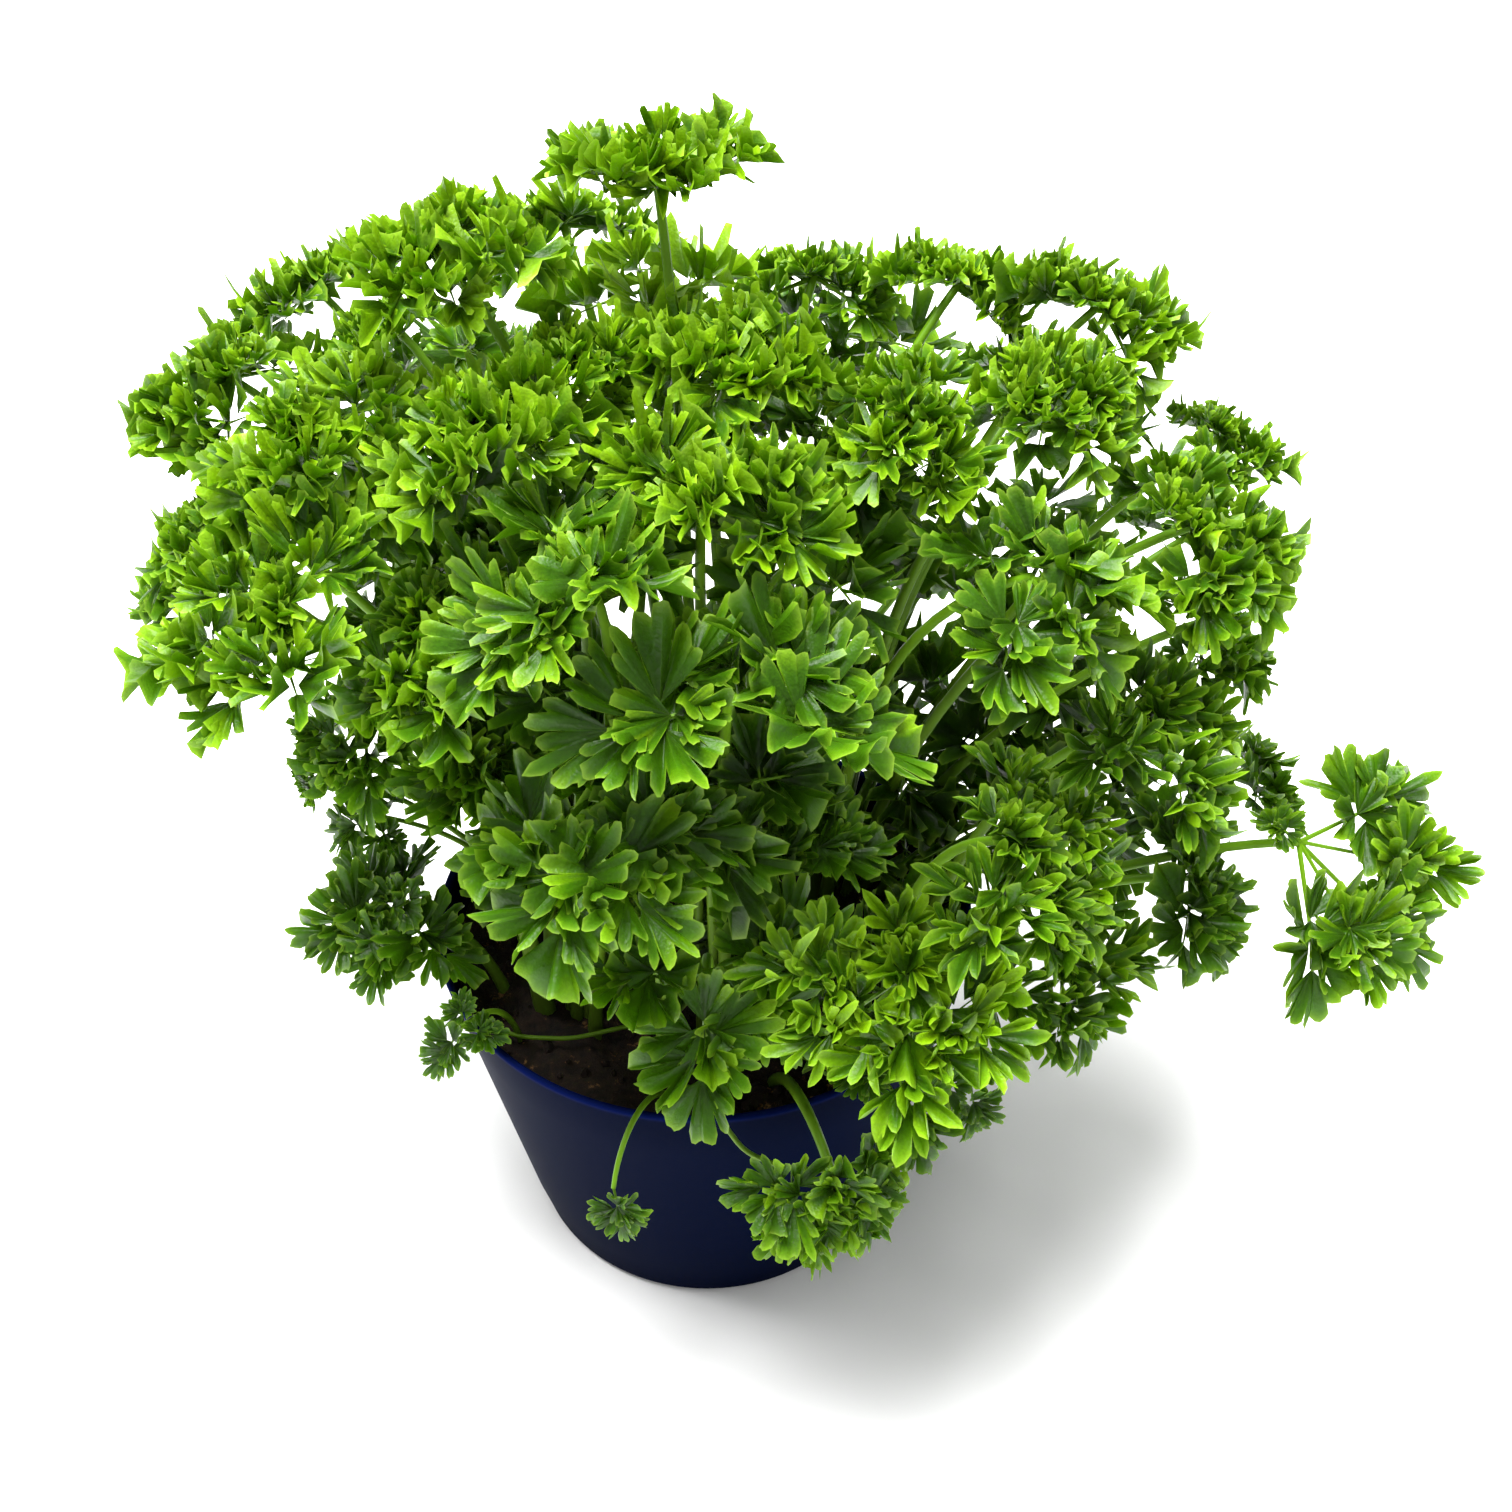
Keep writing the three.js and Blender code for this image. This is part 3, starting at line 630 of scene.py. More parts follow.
class Fan:
    """The columns and rows of a fan, and the faces of its thin shell."""

    def __init__(self, lobes, cuts, steps, rows):
        self.lobes = np.array(lobes, float)
        self.cuts = np.array(cuts, float)
        self.rows = np.array(rows, float)[:, None]
        columns = [(i, place, share) for i in range(len(lobes)) for place, share in zip(*steps)]
        columns = np.array(columns + [(len(lobes) - 1, 1, 0)], float)
        self.lobe = columns[:, 0].astype(int)
        self.place, self.share = columns[:, 1], columns[:, 2]
        self.make_faces(len(rows), len(columns))

    def make_faces(self, rows, columns):
        """Over and under, sharing the foot and the whole rim."""
        self.upper = np.zeros((rows, columns), int)
        self.lower = np.zeros((rows, columns), int)
        count = 1
        for i in range(rows):
            for j in range(columns):
                self.upper[i, j] = self.lower[i, j] = count
                count += 1
                if i < rows - 1 and 0 < j < columns - 1:
                    self.lower[i, j] = count
                    count += 1
        quads, tris = [], []
        for one, step in ((self.upper, 1), (self.lower, -1)):
            for j in range(columns - 1):
                tris.append((0, one[0, j], one[0, j + 1])[::step])
                for i in range(rows - 1):
                    corners = (one[i, j], one[i + 1, j], one[i + 1, j + 1], one[i, j + 1])
                    quads.append(corners[::step])
        self.count, self.quads, self.tris = count, np.array(quads), np.array(tris)


BROAD = Fan(BROAD_LOBES, BROAD_CUTS, BROAD_STEPS, (0.46, 0.8, 1.0))
RUFFLED = Fan(RUFFLED_LOBES, RUFFLED_CUTS, RUFFLED_STEPS, (0.46, 0.8, 1.0))
FINGER = Fan(FINGER_LOBES, FINGER_CUTS, FINGER_STEPS, (0.34, 0.62, 0.86, 1.0))
SHADED = Fan(RUFFLED_LOBES, RUFFLED_CUTS, SHADED_STEPS, (0.6, 1.0))


def both(fan, bearing, along, across, *rest):
    """A division on each side of the rib."""
    return [(fan, bearing, along, across, *rest), (fan, -bearing, along, -across, *rest)]


# The divisions of each sort of blade: bearing, foot along and across the rib, length, and rise
HABITS = {
    "flat": [
        (BROAD, 0, 0.44, 0, 0.56, 2),
        *both(BROAD, 60, 0.28, 0.05, 0.54, 4),
        *both(BROAD, 104, 0.08, 0.09, 0.58, 4),
        (BROAD, 162, 0.0, 0.0, 0.44, 10),
        *both(SHADED, 28, 0.02, 0, 0.44, 6),
        (RUFFLED, 34, 0.2, 0.03, 0.42, 26),
    ],
    "curled": [
        (RUFFLED, 0, 0.46, 0, 0.52, 4),
        *both(RUFFLED, 44, 0.38, 0.03, 0.52, 12),
        *both(RUFFLED, 78, 0.18, 0.28, 0.44, 4),
        *both(RUFFLED, 36, 0.2, 0.2, 0.44, 24),
        *both(SHADED, 120, 0.12, 0.14, 0.46, 10),
        (SHADED, 172, 0.03, 0.02, 0.52, 16),
        (SHADED, 0, 0.06, 0, 0.46, 6),
        (RUFFLED, -16, 0.26, 0, 0.4, 56),
        (RUFFLED, 70, 0.12, 0.04, 0.38, 50),
    ],
    "fingered": [
        (FINGER, 0, 0.5, 0, 0.48, 6),
        *both(FINGER, 38, 0.42, 0.05, 0.48, 16),
        *both(FINGER, 74, 0.2, 0.26, 0.44, 8),
        *both(FINGER, 112, 0.1, 0.14, 0.44, 16),
        (FINGER, 8, 0.34, 0.02, 0.44, 54),
        *both(FINGER, 78, 0.22, 0.07, 0.42, 46),
        *both(FINGER, 150, 0.06, 0.06, 0.42, 40),
        (SHADED, 0, 0.04, 0, 0.46, 8),
    ],
    "heart": [
        (SHADED, 0, 0, 0, 0.85, 12),
        (SHADED, 62, 0, 0, 0.8, 26),
        (SHADED, 124, 0, 0, 0.85, 14),
        (SHADED, 182, 0, 0, 0.8, 28),
        (SHADED, 240, 0, 0, 0.85, 12),
        (SHADED, 300, 0, 0, 0.8, 30),
    ],
    "shaded": [
        (SHADED, 0, 0.34, 0, 0.66, 6),
        *both(SHADED, 50, 0.24, 0.04, 0.62, 12),
        *both(SHADED, 96, 0.1, 0.08, 0.6, 4),
        (SHADED, 160, 0.03, 0, 0.44, 20),
        (SHADED, 20, 0.2, 0.02, 0.44, 52),
    ],
}

# What one division has by chance: the least and the most, as shares, slopes and degrees
BETWEEN = {
    "length": (0.9, 1.1),
    "lobe": (0.86, 1.08),
    "cut": (0.75, 1.15),
    "bend": (0.1, 1.3),
    "cup": (0.1, 0.4),
    "curled_cup": (0.3, 1.2),
    "fold": (-0.3, 1.0),
    "rise": (-18, 20),
}
# And how widely it scatters about its mean, in radians for a bend, in degrees for angles
ABOUT = {
    "bend": 0.25,
    "angle": 2.5,
    "edge": 0.014,
    "surface": 0.004,
    "roll": 20,
    "turn": 5,
    "lobe_tint": 0.09,
    "tint": 0.06,
}
# How often and how far a lobe bends the other way, and how far lobes lean by turns
BENT_BACK = {"odds": 0.3, "share": 0.8}
LEAN = {"least": 0.02, "most": 0.08, "curled": 0.3, "all": 0.05}
# How far out a division stays flat, and the least bend that is drawn as a curve
HELD_FLAT = 0.3
STRAIGHT = 1e-3
# How much cup, fold and wave a division has, and how steeply they grow outward
CURLED_CUP = 0.9
FOLD = {"flat": 0.05, "curled": 0.55}
WAVE = {"share": 0.8, "full_at": 0.85}
GROWS_AS = 1.5
# How loose even a flat blade's divisions are, and the shading values at a raised one and at a foot
LOOSE = 0.25
RAISED_TINT = 0.1
VEIN_AT_FOOT = 1.1


def bent_lobes(fan, length, curly, rng):
    """The cupped lobes of a division: each point's angle, radius, reach once bent, and lift."""
    lobe, t = fan.lobe, fan.place
    count = len(fan.lobes)
    start, end = fan.lobes[lobe, 0], fan.lobes[lobe, 1]
    reach = fan.lobes[:, 2] * rng.uniform(*BETWEEN["lobe"], count) * length
    cuts = fan.cuts * rng.uniform(*BETWEEN["cut"], count + 1) * length
    bend = curly * rng.uniform(*BETWEEN["bend"], count) + rng.normal(0, ABOUT["bend"], count)
    back = rng.uniform(size=count) < BENT_BACK["odds"]
    bend = np.where(back, -BENT_BACK["share"] * bend, bend)
    lean = rng.uniform(LEAN["least"], LEAN["most"] + LEAN["curled"] * curly, count)
    lean = np.where(np.arange(count) % 2, 1, -1) * lean
    lean = lean * rng.choice([-1, 1]) + LEAN["all"] * curly
    cup = rng.uniform(*BETWEEN["cup"], count)
    cup = cup + CURLED_CUP * curly * rng.uniform(*BETWEEN["curled_cup"], count)
    angle = start + (end - start) * (t + 1) / 2
    angle = angle + rng.normal(0, ABOUT["angle"], count)[lobe] * (1 - t**2)
    notch = np.where(t < 0, cuts[lobe], cuts[lobe + 1])
    outer = notch + (reach[lobe] - notch) * fan.share
    outer = outer * (1 + rng.normal(0, ABOUT["edge"], len(lobe)))
    # Where two lobes meet in a cut, they share the mean of their bend and lean
    shared = (t == -1) & (lobe > 0)
    before = np.maximum(lobe - 1, 0)
    bend = np.where(shared, (bend[lobe] + bend[before]) / 2, bend[lobe])
    lean = np.where(shared, (lean[lobe] + lean[before]) / 2, lean[lobe])
    radius = outer[None, :] * fan.rows
    held = HELD_FLAT * length
    turning = bend / ((1 - HELD_FLAT) * length)
    turning = np.where(np.abs(turning) < STRAIGHT, STRAIGHT, turning)
    beyond = np.maximum(radius - held, 0)
    flat = np.minimum(radius, held) + np.sin(turning * beyond) / turning
    out = radius / length
    lift = (1 - np.cos(turning * beyond)) / turning
    hollow = np.tan(radians(end - start) / 2) * radius * np.abs(t) ** GROWS_AS * out
    lift = lift + cup[lobe] * hollow
    return angle, radius, flat, lift + lean * radius * out * (1 - 0.5 * t**2)


def turned(a, b, angle):
    """Two directions turned into each other by an angle."""
    return a * math.cos(angle) - b * math.sin(angle), a * math.sin(angle) + b * math.cos(angle)


def add_division(mould, place, division, wave_row, curly, rng, young, thickness):
    """One division: lobes whose tips bend up or over, as a thin shell."""
    fan, bearing, foot_along, foot_across, length, rise = division
    length = length * rng.uniform(*BETWEEN["length"])
    angle, radius, flat, lift = bent_lobes(fan, length, curly, rng)
    ray = radians(angle)
    wave = np.interp(angle, EDGE[:, 0], EDGE[:, 2] + np.array(wave_row))
    wave = wave * WAVE["share"] * (radius / length / WAVE["full_at"]) ** GROWS_AS
    fold = (FOLD["flat"] + FOLD["curled"] * curly) * rng.uniform(*BETWEEN["fold"])
    lift = lift + wave + fold * np.abs(np.sin(ray)) * radius
    lift = lift + rng.normal(0, ABOUT["surface"], radius.shape)
    u, v = flat * np.cos(ray), flat * np.sin(ray)
    loose = LOOSE + curly
    v, lift = turned(v, lift, radians(rng.normal(0, ABOUT["roll"]) * loose))
    rise = radians(rise + rng.uniform(*BETWEEN["rise"]) * loose)
    u, lift = turned(u, lift, rise)
    u, v = turned(u, v, radians(bearing + rng.normal(0, ABOUT["turn"])))
    points = place(foot_along + u, foot_across + v, lift)
    normal = np.cross(np.gradient(points, axis=0), np.gradient(points, axis=1))
    normal = normal / np.maximum(np.linalg.norm(normal, axis=-1, keepdims=True), 1e-9)
    rim = fan.upper == fan.lower
    half = np.where(rim[..., None], 0, normal * thickness / 2)
    shell = np.empty((fan.count, 3))
    shell[0] = place(foot_along, foot_across, 0)
    shell[fan.upper] = points + half
    shell[fan.lower] = points - half
    vein, margin, youth = np.ones(fan.count), np.zeros(fan.count), np.zeros(fan.count)
    tint = rng.normal(0, ABOUT["lobe_tint"], len(fan.lobes))[fan.lobe]
    for index in (fan.upper, fan.lower):
        vein[index] = np.where(fan.place == 0, 1.0, 0.0) * (VEIN_AT_FOOT - fan.rows**2)
        margin[index] = fan.rows
        youth[index] = tint
    youth = youth + young + rng.normal(0, ABOUT["tint"]) + RAISED_TINT * math.sin(rise)
    mould.add(shell, fan.quads, fan.tris, BLADE, vein=vein, margin=margin, young=youth)


# A side stalk and its two branches, as shares of the blade's size and of the stalk's radius
RACHIS = {
    "sides": 5,
    "end": 0.44,
    "steps": 6,
    "under": 0.02,
    "taper": [1.0, 0.75, 0.3],
    "side_share": 0.38,
    "side_steps": 4,
    "side_taper": (0.5, 0.2),
    "side_sides": 4,
    # Where the side stalk sits on the stalk colour ramp, darker under the blade as painted shade
    "painted_shade_along": (0.9, 0.5),
}


def add_blade(mould, place, waves, habit, curly, rng, young, thickness):
    """A blade of one habit, all its divisions."""
    for division in HABITS[habit]:
        leaflet = int(np.argmin([abs(division[1] - leaflet[0]) for leaflet in LEAFLETS]))
        add_division(mould, place, division, waves[leaflet], curly, rng, young, thickness)


def add_rachis(mould, place, reach_share, radius, young):
    """The side stalk of a blade, from the leaf's head on under the blade's ribs."""
    row = np.linspace(-reach_share, RACHIS["end"], RACHIS["steps"])
    middles = place(row, 0 * row, 0 * row - RACHIS["under"])
    radii = radius * np.interp(row, [-reach_share, 0, RACHIS["end"]], RACHIS["taper"])
    # Darker towards the blade: painted shade under it
    along = np.linspace(*RACHIS["painted_shade_along"], RACHIS["steps"])
    add_tube(mould, middles, radii, RACHIS["sides"], young=young, along=along)
    for bearing, spring, length in (LEAFLETS[0], LEAFLETS[2]):
        out = np.linspace(0, RACHIS["side_share"] * length, RACHIS["side_steps"])
        direction = radians(bearing)
        east, north = spring + out * math.cos(direction), out * math.sin(direction)
        radii = radius * np.linspace(*RACHIS["side_taper"], RACHIS["side_steps"])
        middles = place(east, north, 0 * out - RACHIS["under"])
        add_tube(mould, middles, radii, RACHIS["side_sides"], young=young, along=along[-1])


# Materials. A pixel of the render covers about 0.3 mm of the plant, so what is finer than two of
# them is drawn coarser than it is.

def linear(hex_colour):
    """An sRGB colour as linear red, green, blue, alpha."""
    parts = [int(hex_colour[i : i + 2], 16) / 255 for i in (0, 2, 4)]
    parts = [c / 12.92 if c <= 0.04045 else ((c + 0.055) / 1.055) ** 2.4 for c in parts]
    return (*parts, 1.0)


def per_metre(size):
    """The scale of a pattern whose features are so many millimetres across."""
    return 1 / (size * MM)


class Tree:
    """A material's nodes, with one way to add a node with its settings and its links."""

    def __init__(self, name):
        self.material = bpy.data.materials.new(name)
        self.material.use_nodes = True
        self.tree = self.material.node_tree
        self.tree.nodes.clear()

    def add(self, kind, settings=None, out=0, **inputs):
        """Add a node and give one of its outputs. An input goes by name, or by i and a number."""
        node = self.tree.nodes.new("ShaderNode" + kind)
        for key, value in (settings or {}).items():
            if key != "stops":
                setattr(node, key, value)
                continue
            for _ in value[2:]:
                node.color_ramp.elements.new(0.5)
            for element, stop in zip(node.color_ramp.elements, value):
                element.position, element.color = stop
        for key, value in inputs.items():
            numbered = key[0] == "i" and key[1:].isdigit()
            socket = node.inputs[int(key[1:]) if numbered else key.replace("_", " ")]
            if isinstance(value, bpy.types.NodeSocket):
                self.tree.links.new(value, socket)
            else:
                socket.default_value = value
        return node.outputs[out] if node.outputs else None


LEAF_NAME = "Parsley blade, living leaf with waxy skin"
STALK_NAME = "Parsley stalk, ridged living stem"

# Settings that several nodes share
TIMES = {"operation": "MULTIPLY"}
TIMES_PLUS = {"operation": "MULTIPLY_ADD"}
MINUS = {"operation": "SUBTRACT"}
POWER = {"operation": "POWER"}
LEAST = {"operation": "MINIMUM"}
BLEND = {"data_type": "RGBA"}
DARKEN = {"data_type": "RGBA", "blend_type": "MULTIPLY"}


def leaf_material(leaf):
    """A living parsley blade: waxy skin over soft tissue that lets light through, so that a lit
    edge glows yellow-green, a shaded one goes deep, and the skin keeps a pale sheen."""
    tree = Tree(LEAF_NAME)
    add = tree.add
    where = add("TexCoord", out="Object")
    young = add("Attribute", {"attribute_name": "young"}, out="Fac")
    margin = add("Attribute", {"attribute_name": "margin"}, out="Fac")
    vein = add("Attribute", {"attribute_name": "vein"}, out="Fac")
    # A blade's age differs in patches of about 11 mm, and its margin is younger and paler than its
    # middle: partly young tissue, partly painted light on the margin and painted shade at the hub
    patch = add("TexNoise", Vector=where, Scale=per_metre(11.11), Detail=2.0, Roughness=0.6)
    age_and_painted_light = add("Math", TIMES_PLUS, i0=add("Math", MINUS, i0=patch, i1=0.5), i1=0.5, i2=young)
    outer = add("Math", MINUS, i0=margin, i1=0.6)
    age_and_painted_light = add("Math", TIMES_PLUS, i0=outer, i1=0.46, i2=age_and_painted_light)
    # From old to new: partly the leaves' age, partly painted shade low on the plant and painted
    # light at the top
    stops = [(0.0, leaf.old), (0.5, leaf.grown), (1.0, leaf.new)]
    base = add("ValToRGB", {"stops": stops}, Fac=age_and_painted_light)
    # The skin's cells are 0.05 mm, too fine to show; their grain is drawn at 0.6 mm
    fine = add("TexNoise", Vector=where, Scale=per_metre(0.625), Detail=1.0, Roughness=0.6)
    # The net of the smallest veins is 0.4 mm across, too fine to show; it is drawn at 0.9 mm
    edges = {"feature": "DISTANCE_TO_EDGE"}
    net = add("TexVoronoi", edges, out="Distance", Vector=where, Scale=per_metre(0.909))
    cells = add("Math", LEAST, i0=add("Math", TIMES, i0=net, i1=5.0), i1=1.0)
    grain = add("Math", TIMES_PLUS, i0=fine, i1=0.5, i2=0.64)
    grain = add("Math", TIMES_PLUS, i0=cells, i1=0.14, i2=grain)
    # The heart of a division lies deeper and gets less light than its margin
    inward = add("Math", POWER, i0=margin, i1=1.5)
    inward = add("Math", TIMES_PLUS, i0=inward, i1=0.52, i2=0.48)
    # The fine grain, darkened by the painted shade at the hub
    grain_and_painted_shade = add("Math", TIMES, i0=grain, i1=inward)
    grain_and_painted_shade = add("CombineColor", Red=grain_and_painted_shade, Green=grain_and_painted_shade, Blue=grain_and_painted_shade)
    base = add("Mix", DARKEN, out=2, i0=1.0, i6=base, i7=grain_and_painted_shade)
    # Ribs are paler, and the very rim is paler still as a painted highlight
    rib = add("Math", TIMES, i0=add("Math", POWER, i0=vein, i1=5.0), i1=0.1)
    base = add("Mix", BLEND, out=2, i0=rib, i6=base, i7=linear("8fb63c"))
    rim = add("Math", TIMES, i0=add("Math", POWER, i0=margin, i1=16.0), i1=0.35)
    base = add("Mix", BLEND, out=2, i0=rim, i6=base, i7=linear("b8d84e"))
    # The blade puckers between its small side veins, which are about 1.8 mm apart
    pucker = add("TexNoise", Vector=where, Scale=per_metre(1.786), Detail=2.0, Roughness=0.7)
    bump = add("Bump", Height=pucker, Strength=0.7, Distance=0.4 * MM)
    skin = add(
        "BsdfPrincipled",
        Base_Color=base,
        Roughness=leaf.roughness,
        IOR=1.45,
        Specular_IOR_Level=0.28,
        Normal=bump,
    )
    glow = add("Mix", BLEND, out=2, i0=0.6, i6=base, i7=leaf.glow)
    through = add("BsdfTranslucent", Color=glow, Normal=bump)
    add("OutputMaterial", Surface=add("MixShader", Fac=leaf.through, i1=skin, i2=through))
    return tree.material


def stalk_material(leaf):
    """A parsley stalk: smooth living skin, dull green-brown at the foot and yellow-green above."""
    tree = Tree(STALK_NAME)
    add = tree.add
    where = add("TexCoord", out="Object")
    along = add("Attribute", {"attribute_name": "along"}, out="Fac")
    stops = [(0.0, linear("46581a")), (0.35, linear("5e8014")), (1.0, leaf.stalk)]
    base = add("ValToRGB", {"stops": stops}, Fac=along)
    # Darker stretches along a stalk are about 6 mm long
    cloud = add("TexNoise", Vector=where, Scale=per_metre(6.25), Detail=3.0, Roughness=0.5)
    cloud = add("Math", TIMES, i0=cloud, i1=0.35)
    base = add("Mix", BLEND, out=2, i0=cloud, i6=base, i7=linear("3f5f14"))
    skin = add("BsdfPrincipled", Base_Color=base, Roughness=0.45, IOR=1.45, Specular_IOR_Level=0.25)
    through = add("BsdfTranslucent", Color=base)
    add("OutputMaterial", Surface=add("MixShader", Fac=0.12, i1=skin, i2=through))
    return tree.material


# How far down from its top the pot's lip is paler, a painted highlight where light shows through
# the thin rim
LIP = 2.2


def pot_material(pot):
    """Injection-moulded polypropylene dyed navy: smooth, with a soft wide sheen and a lip that
    some light shows through."""
    tree = Tree("Pot, injection-moulded navy polypropylene")
    add = tree.add
    where = add("TexCoord", out="Object")
    # Flow in the mould leaves faint clouds in the dye, about 29 mm across
    cloud = add("TexNoise", Vector=where, Scale=per_metre(28.57), Detail=3.0, Roughness=0.5)
    cloud = add("Math", TIMES, i0=cloud, i1=0.35)
    # Both body colours carry painted shade from the plant above
    base = add("Mix", BLEND, out=2, i0=cloud, i6=pot.colour, i7=pot.deep)
    lip = add(
        "MapRange",
        {"interpolation_type": "SMOOTHSTEP"},
        Value=add("SeparateXYZ", Vector=where, out="Z"),
        From_Min=(POT["height"] - LIP) * MM,
        From_Max=POT["height"] * MM,
    )
    # Painted highlight on the lip
    lip = add("Math", TIMES, i0=lip, i1=0.13)
    base = add("Mix", BLEND, out=2, i0=lip, i6=base, i7=pot.lip)
    # The mould's grain is 0.1 mm, too fine to show; it is drawn at 0.7 mm. The real pot mirrors
    # next to nothing of the sky, so its mirror share is turned far down
    grain = add("TexNoise", Vector=where, Scale=per_metre(0.714), Detail=3.0, Roughness=0.5)
    skin = add(
        "BsdfPrincipled",
        Base_Color=base,
        Roughness=pot.roughness,
        IOR=1.49,
        Specular_IOR_Level=0.005,
        Normal=add("Bump", Height=grain, Strength=0.05, Distance=0.3 * MM),
    )
    add("OutputMaterial", Surface=skin)
    return tree.material


def soil_material(soil):
    """Moist peat compost: near-black crumbs, some dry brown ones, matte."""
    tree = Tree("Compost, moist peat with bark crumbs")
    add = tree.add
    where = add("TexCoord", out="Object")
    # Crumbs of peat and bark are about 4 mm across
    crumbs = add("TexNoise", Vector=where, Scale=per_metre(3.846), Detail=5.0, Roughness=0.7)
    stops = [(0.38, soil.dark), (0.6, soil.brown), (0.7, linear("8a6540"))]
    base = add("ValToRGB", {"stops": stops}, Fac=crumbs)
    bump = add("Bump", Height=crumbs, Strength=0.9, Distance=1.2 * MM)
    skin = add("BsdfPrincipled", Base_Color=base, Roughness=0.9, IOR=1.4, Normal=bump)
    add("OutputMaterial", Surface=skin)
    return tree.material


# Settings

def a_colour(name, description, hex_colour):
    """A colour that a user may change."""
    return FloatVectorProperty(
        name=name,
        description=description,
        subtype="COLOR",
        size=4,
        min=0,
        max=1,
        default=linear(hex_colour),
    )


def a_number(name, description, default, **how):
    """A number that a user may change."""
    return FloatProperty(name=name, description=description, default=default, **how)


# How a number is shown and held: a length in metres, a share, and a lamp's power in watts
LENGTH = {"unit": "LENGTH", "precision": 5}
SHARE = {"subtype": "FACTOR", "min": 0, "max": 1}
WATTS = {"unit": "POWER", "min": 0}


class PotSettings(bpy.types.PropertyGroup):
    """The pot's sizes and finish."""

    sides: IntProperty(name="Sides", description="Facets round the pot", default=144, min=48)
    roughness: a_number("Roughness", "How dull the plastic is", 0.42, **SHARE)
    # Both colours are darker than the navy plastic itself: painted shade from the plant over the
    # pot
    colour: a_colour("Colour", "The plastic's own colour", "02081f")
    deep: a_colour("Deep colour", "The plastic where its dye is denser", "020618")
    lip: a_colour("Lip", "The thin rim, where light shows through", "1f35a0")


class SoilSettings(bpy.types.PropertyGroup):
    """The compost's crumbs and colours."""

    crumbs: IntProperty(name="Crumbs", description="Loose crumbs on top", default=420, min=0)
    crumb: a_number("Crumb", "Size of a large crumb", 0.0019, min=0, **LENGTH)
    dark: a_colour("Moist", "Moist peat", "0f0a06")
    brown: a_colour("Dry", "Peat that is drying", "2a1c12")


class LeafSettings(bpy.types.PropertyGroup):
    """How the blades and stalks look."""

    thickness: a_number("Thickness", "Thickness of a blade", 0.0003, min=0.0001, **LENGTH)
    roughness: a_number("Roughness", "How dull the leaf's skin is", 0.38, **SHARE)
    through: a_number("Through", "Share of light that passes through a blade", 0.34, **SHARE)
    # Old leaves sit low and new ones high: the darker low tone is partly painted shade, the paler
    # top tone partly painted light
    old: a_colour("Old", "An old leaf low on the plant", "254205")
    grown: a_colour("Grown", "A grown leaf", "406e05")
    new: a_colour("New", "A young leaf at the top", "90be08")
    glow: a_colour("Glow", "Light that shows through a blade", "b4e60c")
    stalk: a_colour("Stalk", "A stalk near its head", "6ea00e")


class StageSettings(bpy.types.PropertyGroup):
    """The camera and the light."""

    key: a_number("Key", "Power of the light overhead", 395, **WATTS)
    fill: a_number("Fill", "Power of the light in front", 2, **WATTS)
    sky: a_number("Sky", "Strength of the light all round", 0.58, **SHARE)
    floor: a_colour("Floor", "The floor's colour", "f7f7f7")


# Pieces

def lathe(profile, sides):
    """The points and faces of a solid turned from a profile of (radius, height)."""
    points, faces = [], []
    rings = []
    for radius, height in profile:
        if radius < 1e-9:
            rings.append([len(points)])
            points.append((0.0, 0.0, height))
            continue
        rings.append(list(range(len(points), len(points) + sides)))
        for k in range(sides):
            angle = 2 * math.pi * k / sides
            points.append((radius * math.cos(angle), radius * math.sin(angle), height))
    for one, other in zip(rings, rings[1:]):
        for k in range(sides):
            j = (k + 1) % sides
            if len(one) == 1:
                faces.append((one[0], other[k], other[j]))
            elif len(other) == 1:
                faces.append((one[k], other[0], one[j]))
            else:
                faces.append((one[k], other[k], other[j], one[j]))
    return points, faces


def arc(middle, radius, start, end, steps):
    """Points of an arc in a profile, angles in degrees."""
    angles = radians(np.linspace(start, end, steps))
    return [(middle[0] + radius * math.cos(a), middle[1] + radius * math.sin(a)) for a in angles]


# Heights of the rings on the pot's wall, how far its inside bends into its floor, and the drills
WALL_STOPS = (12, 30, 50, 70)
FLOOR_BEND = 1.5
DRILL_PAST = 4
DRILL_SIDES = 32


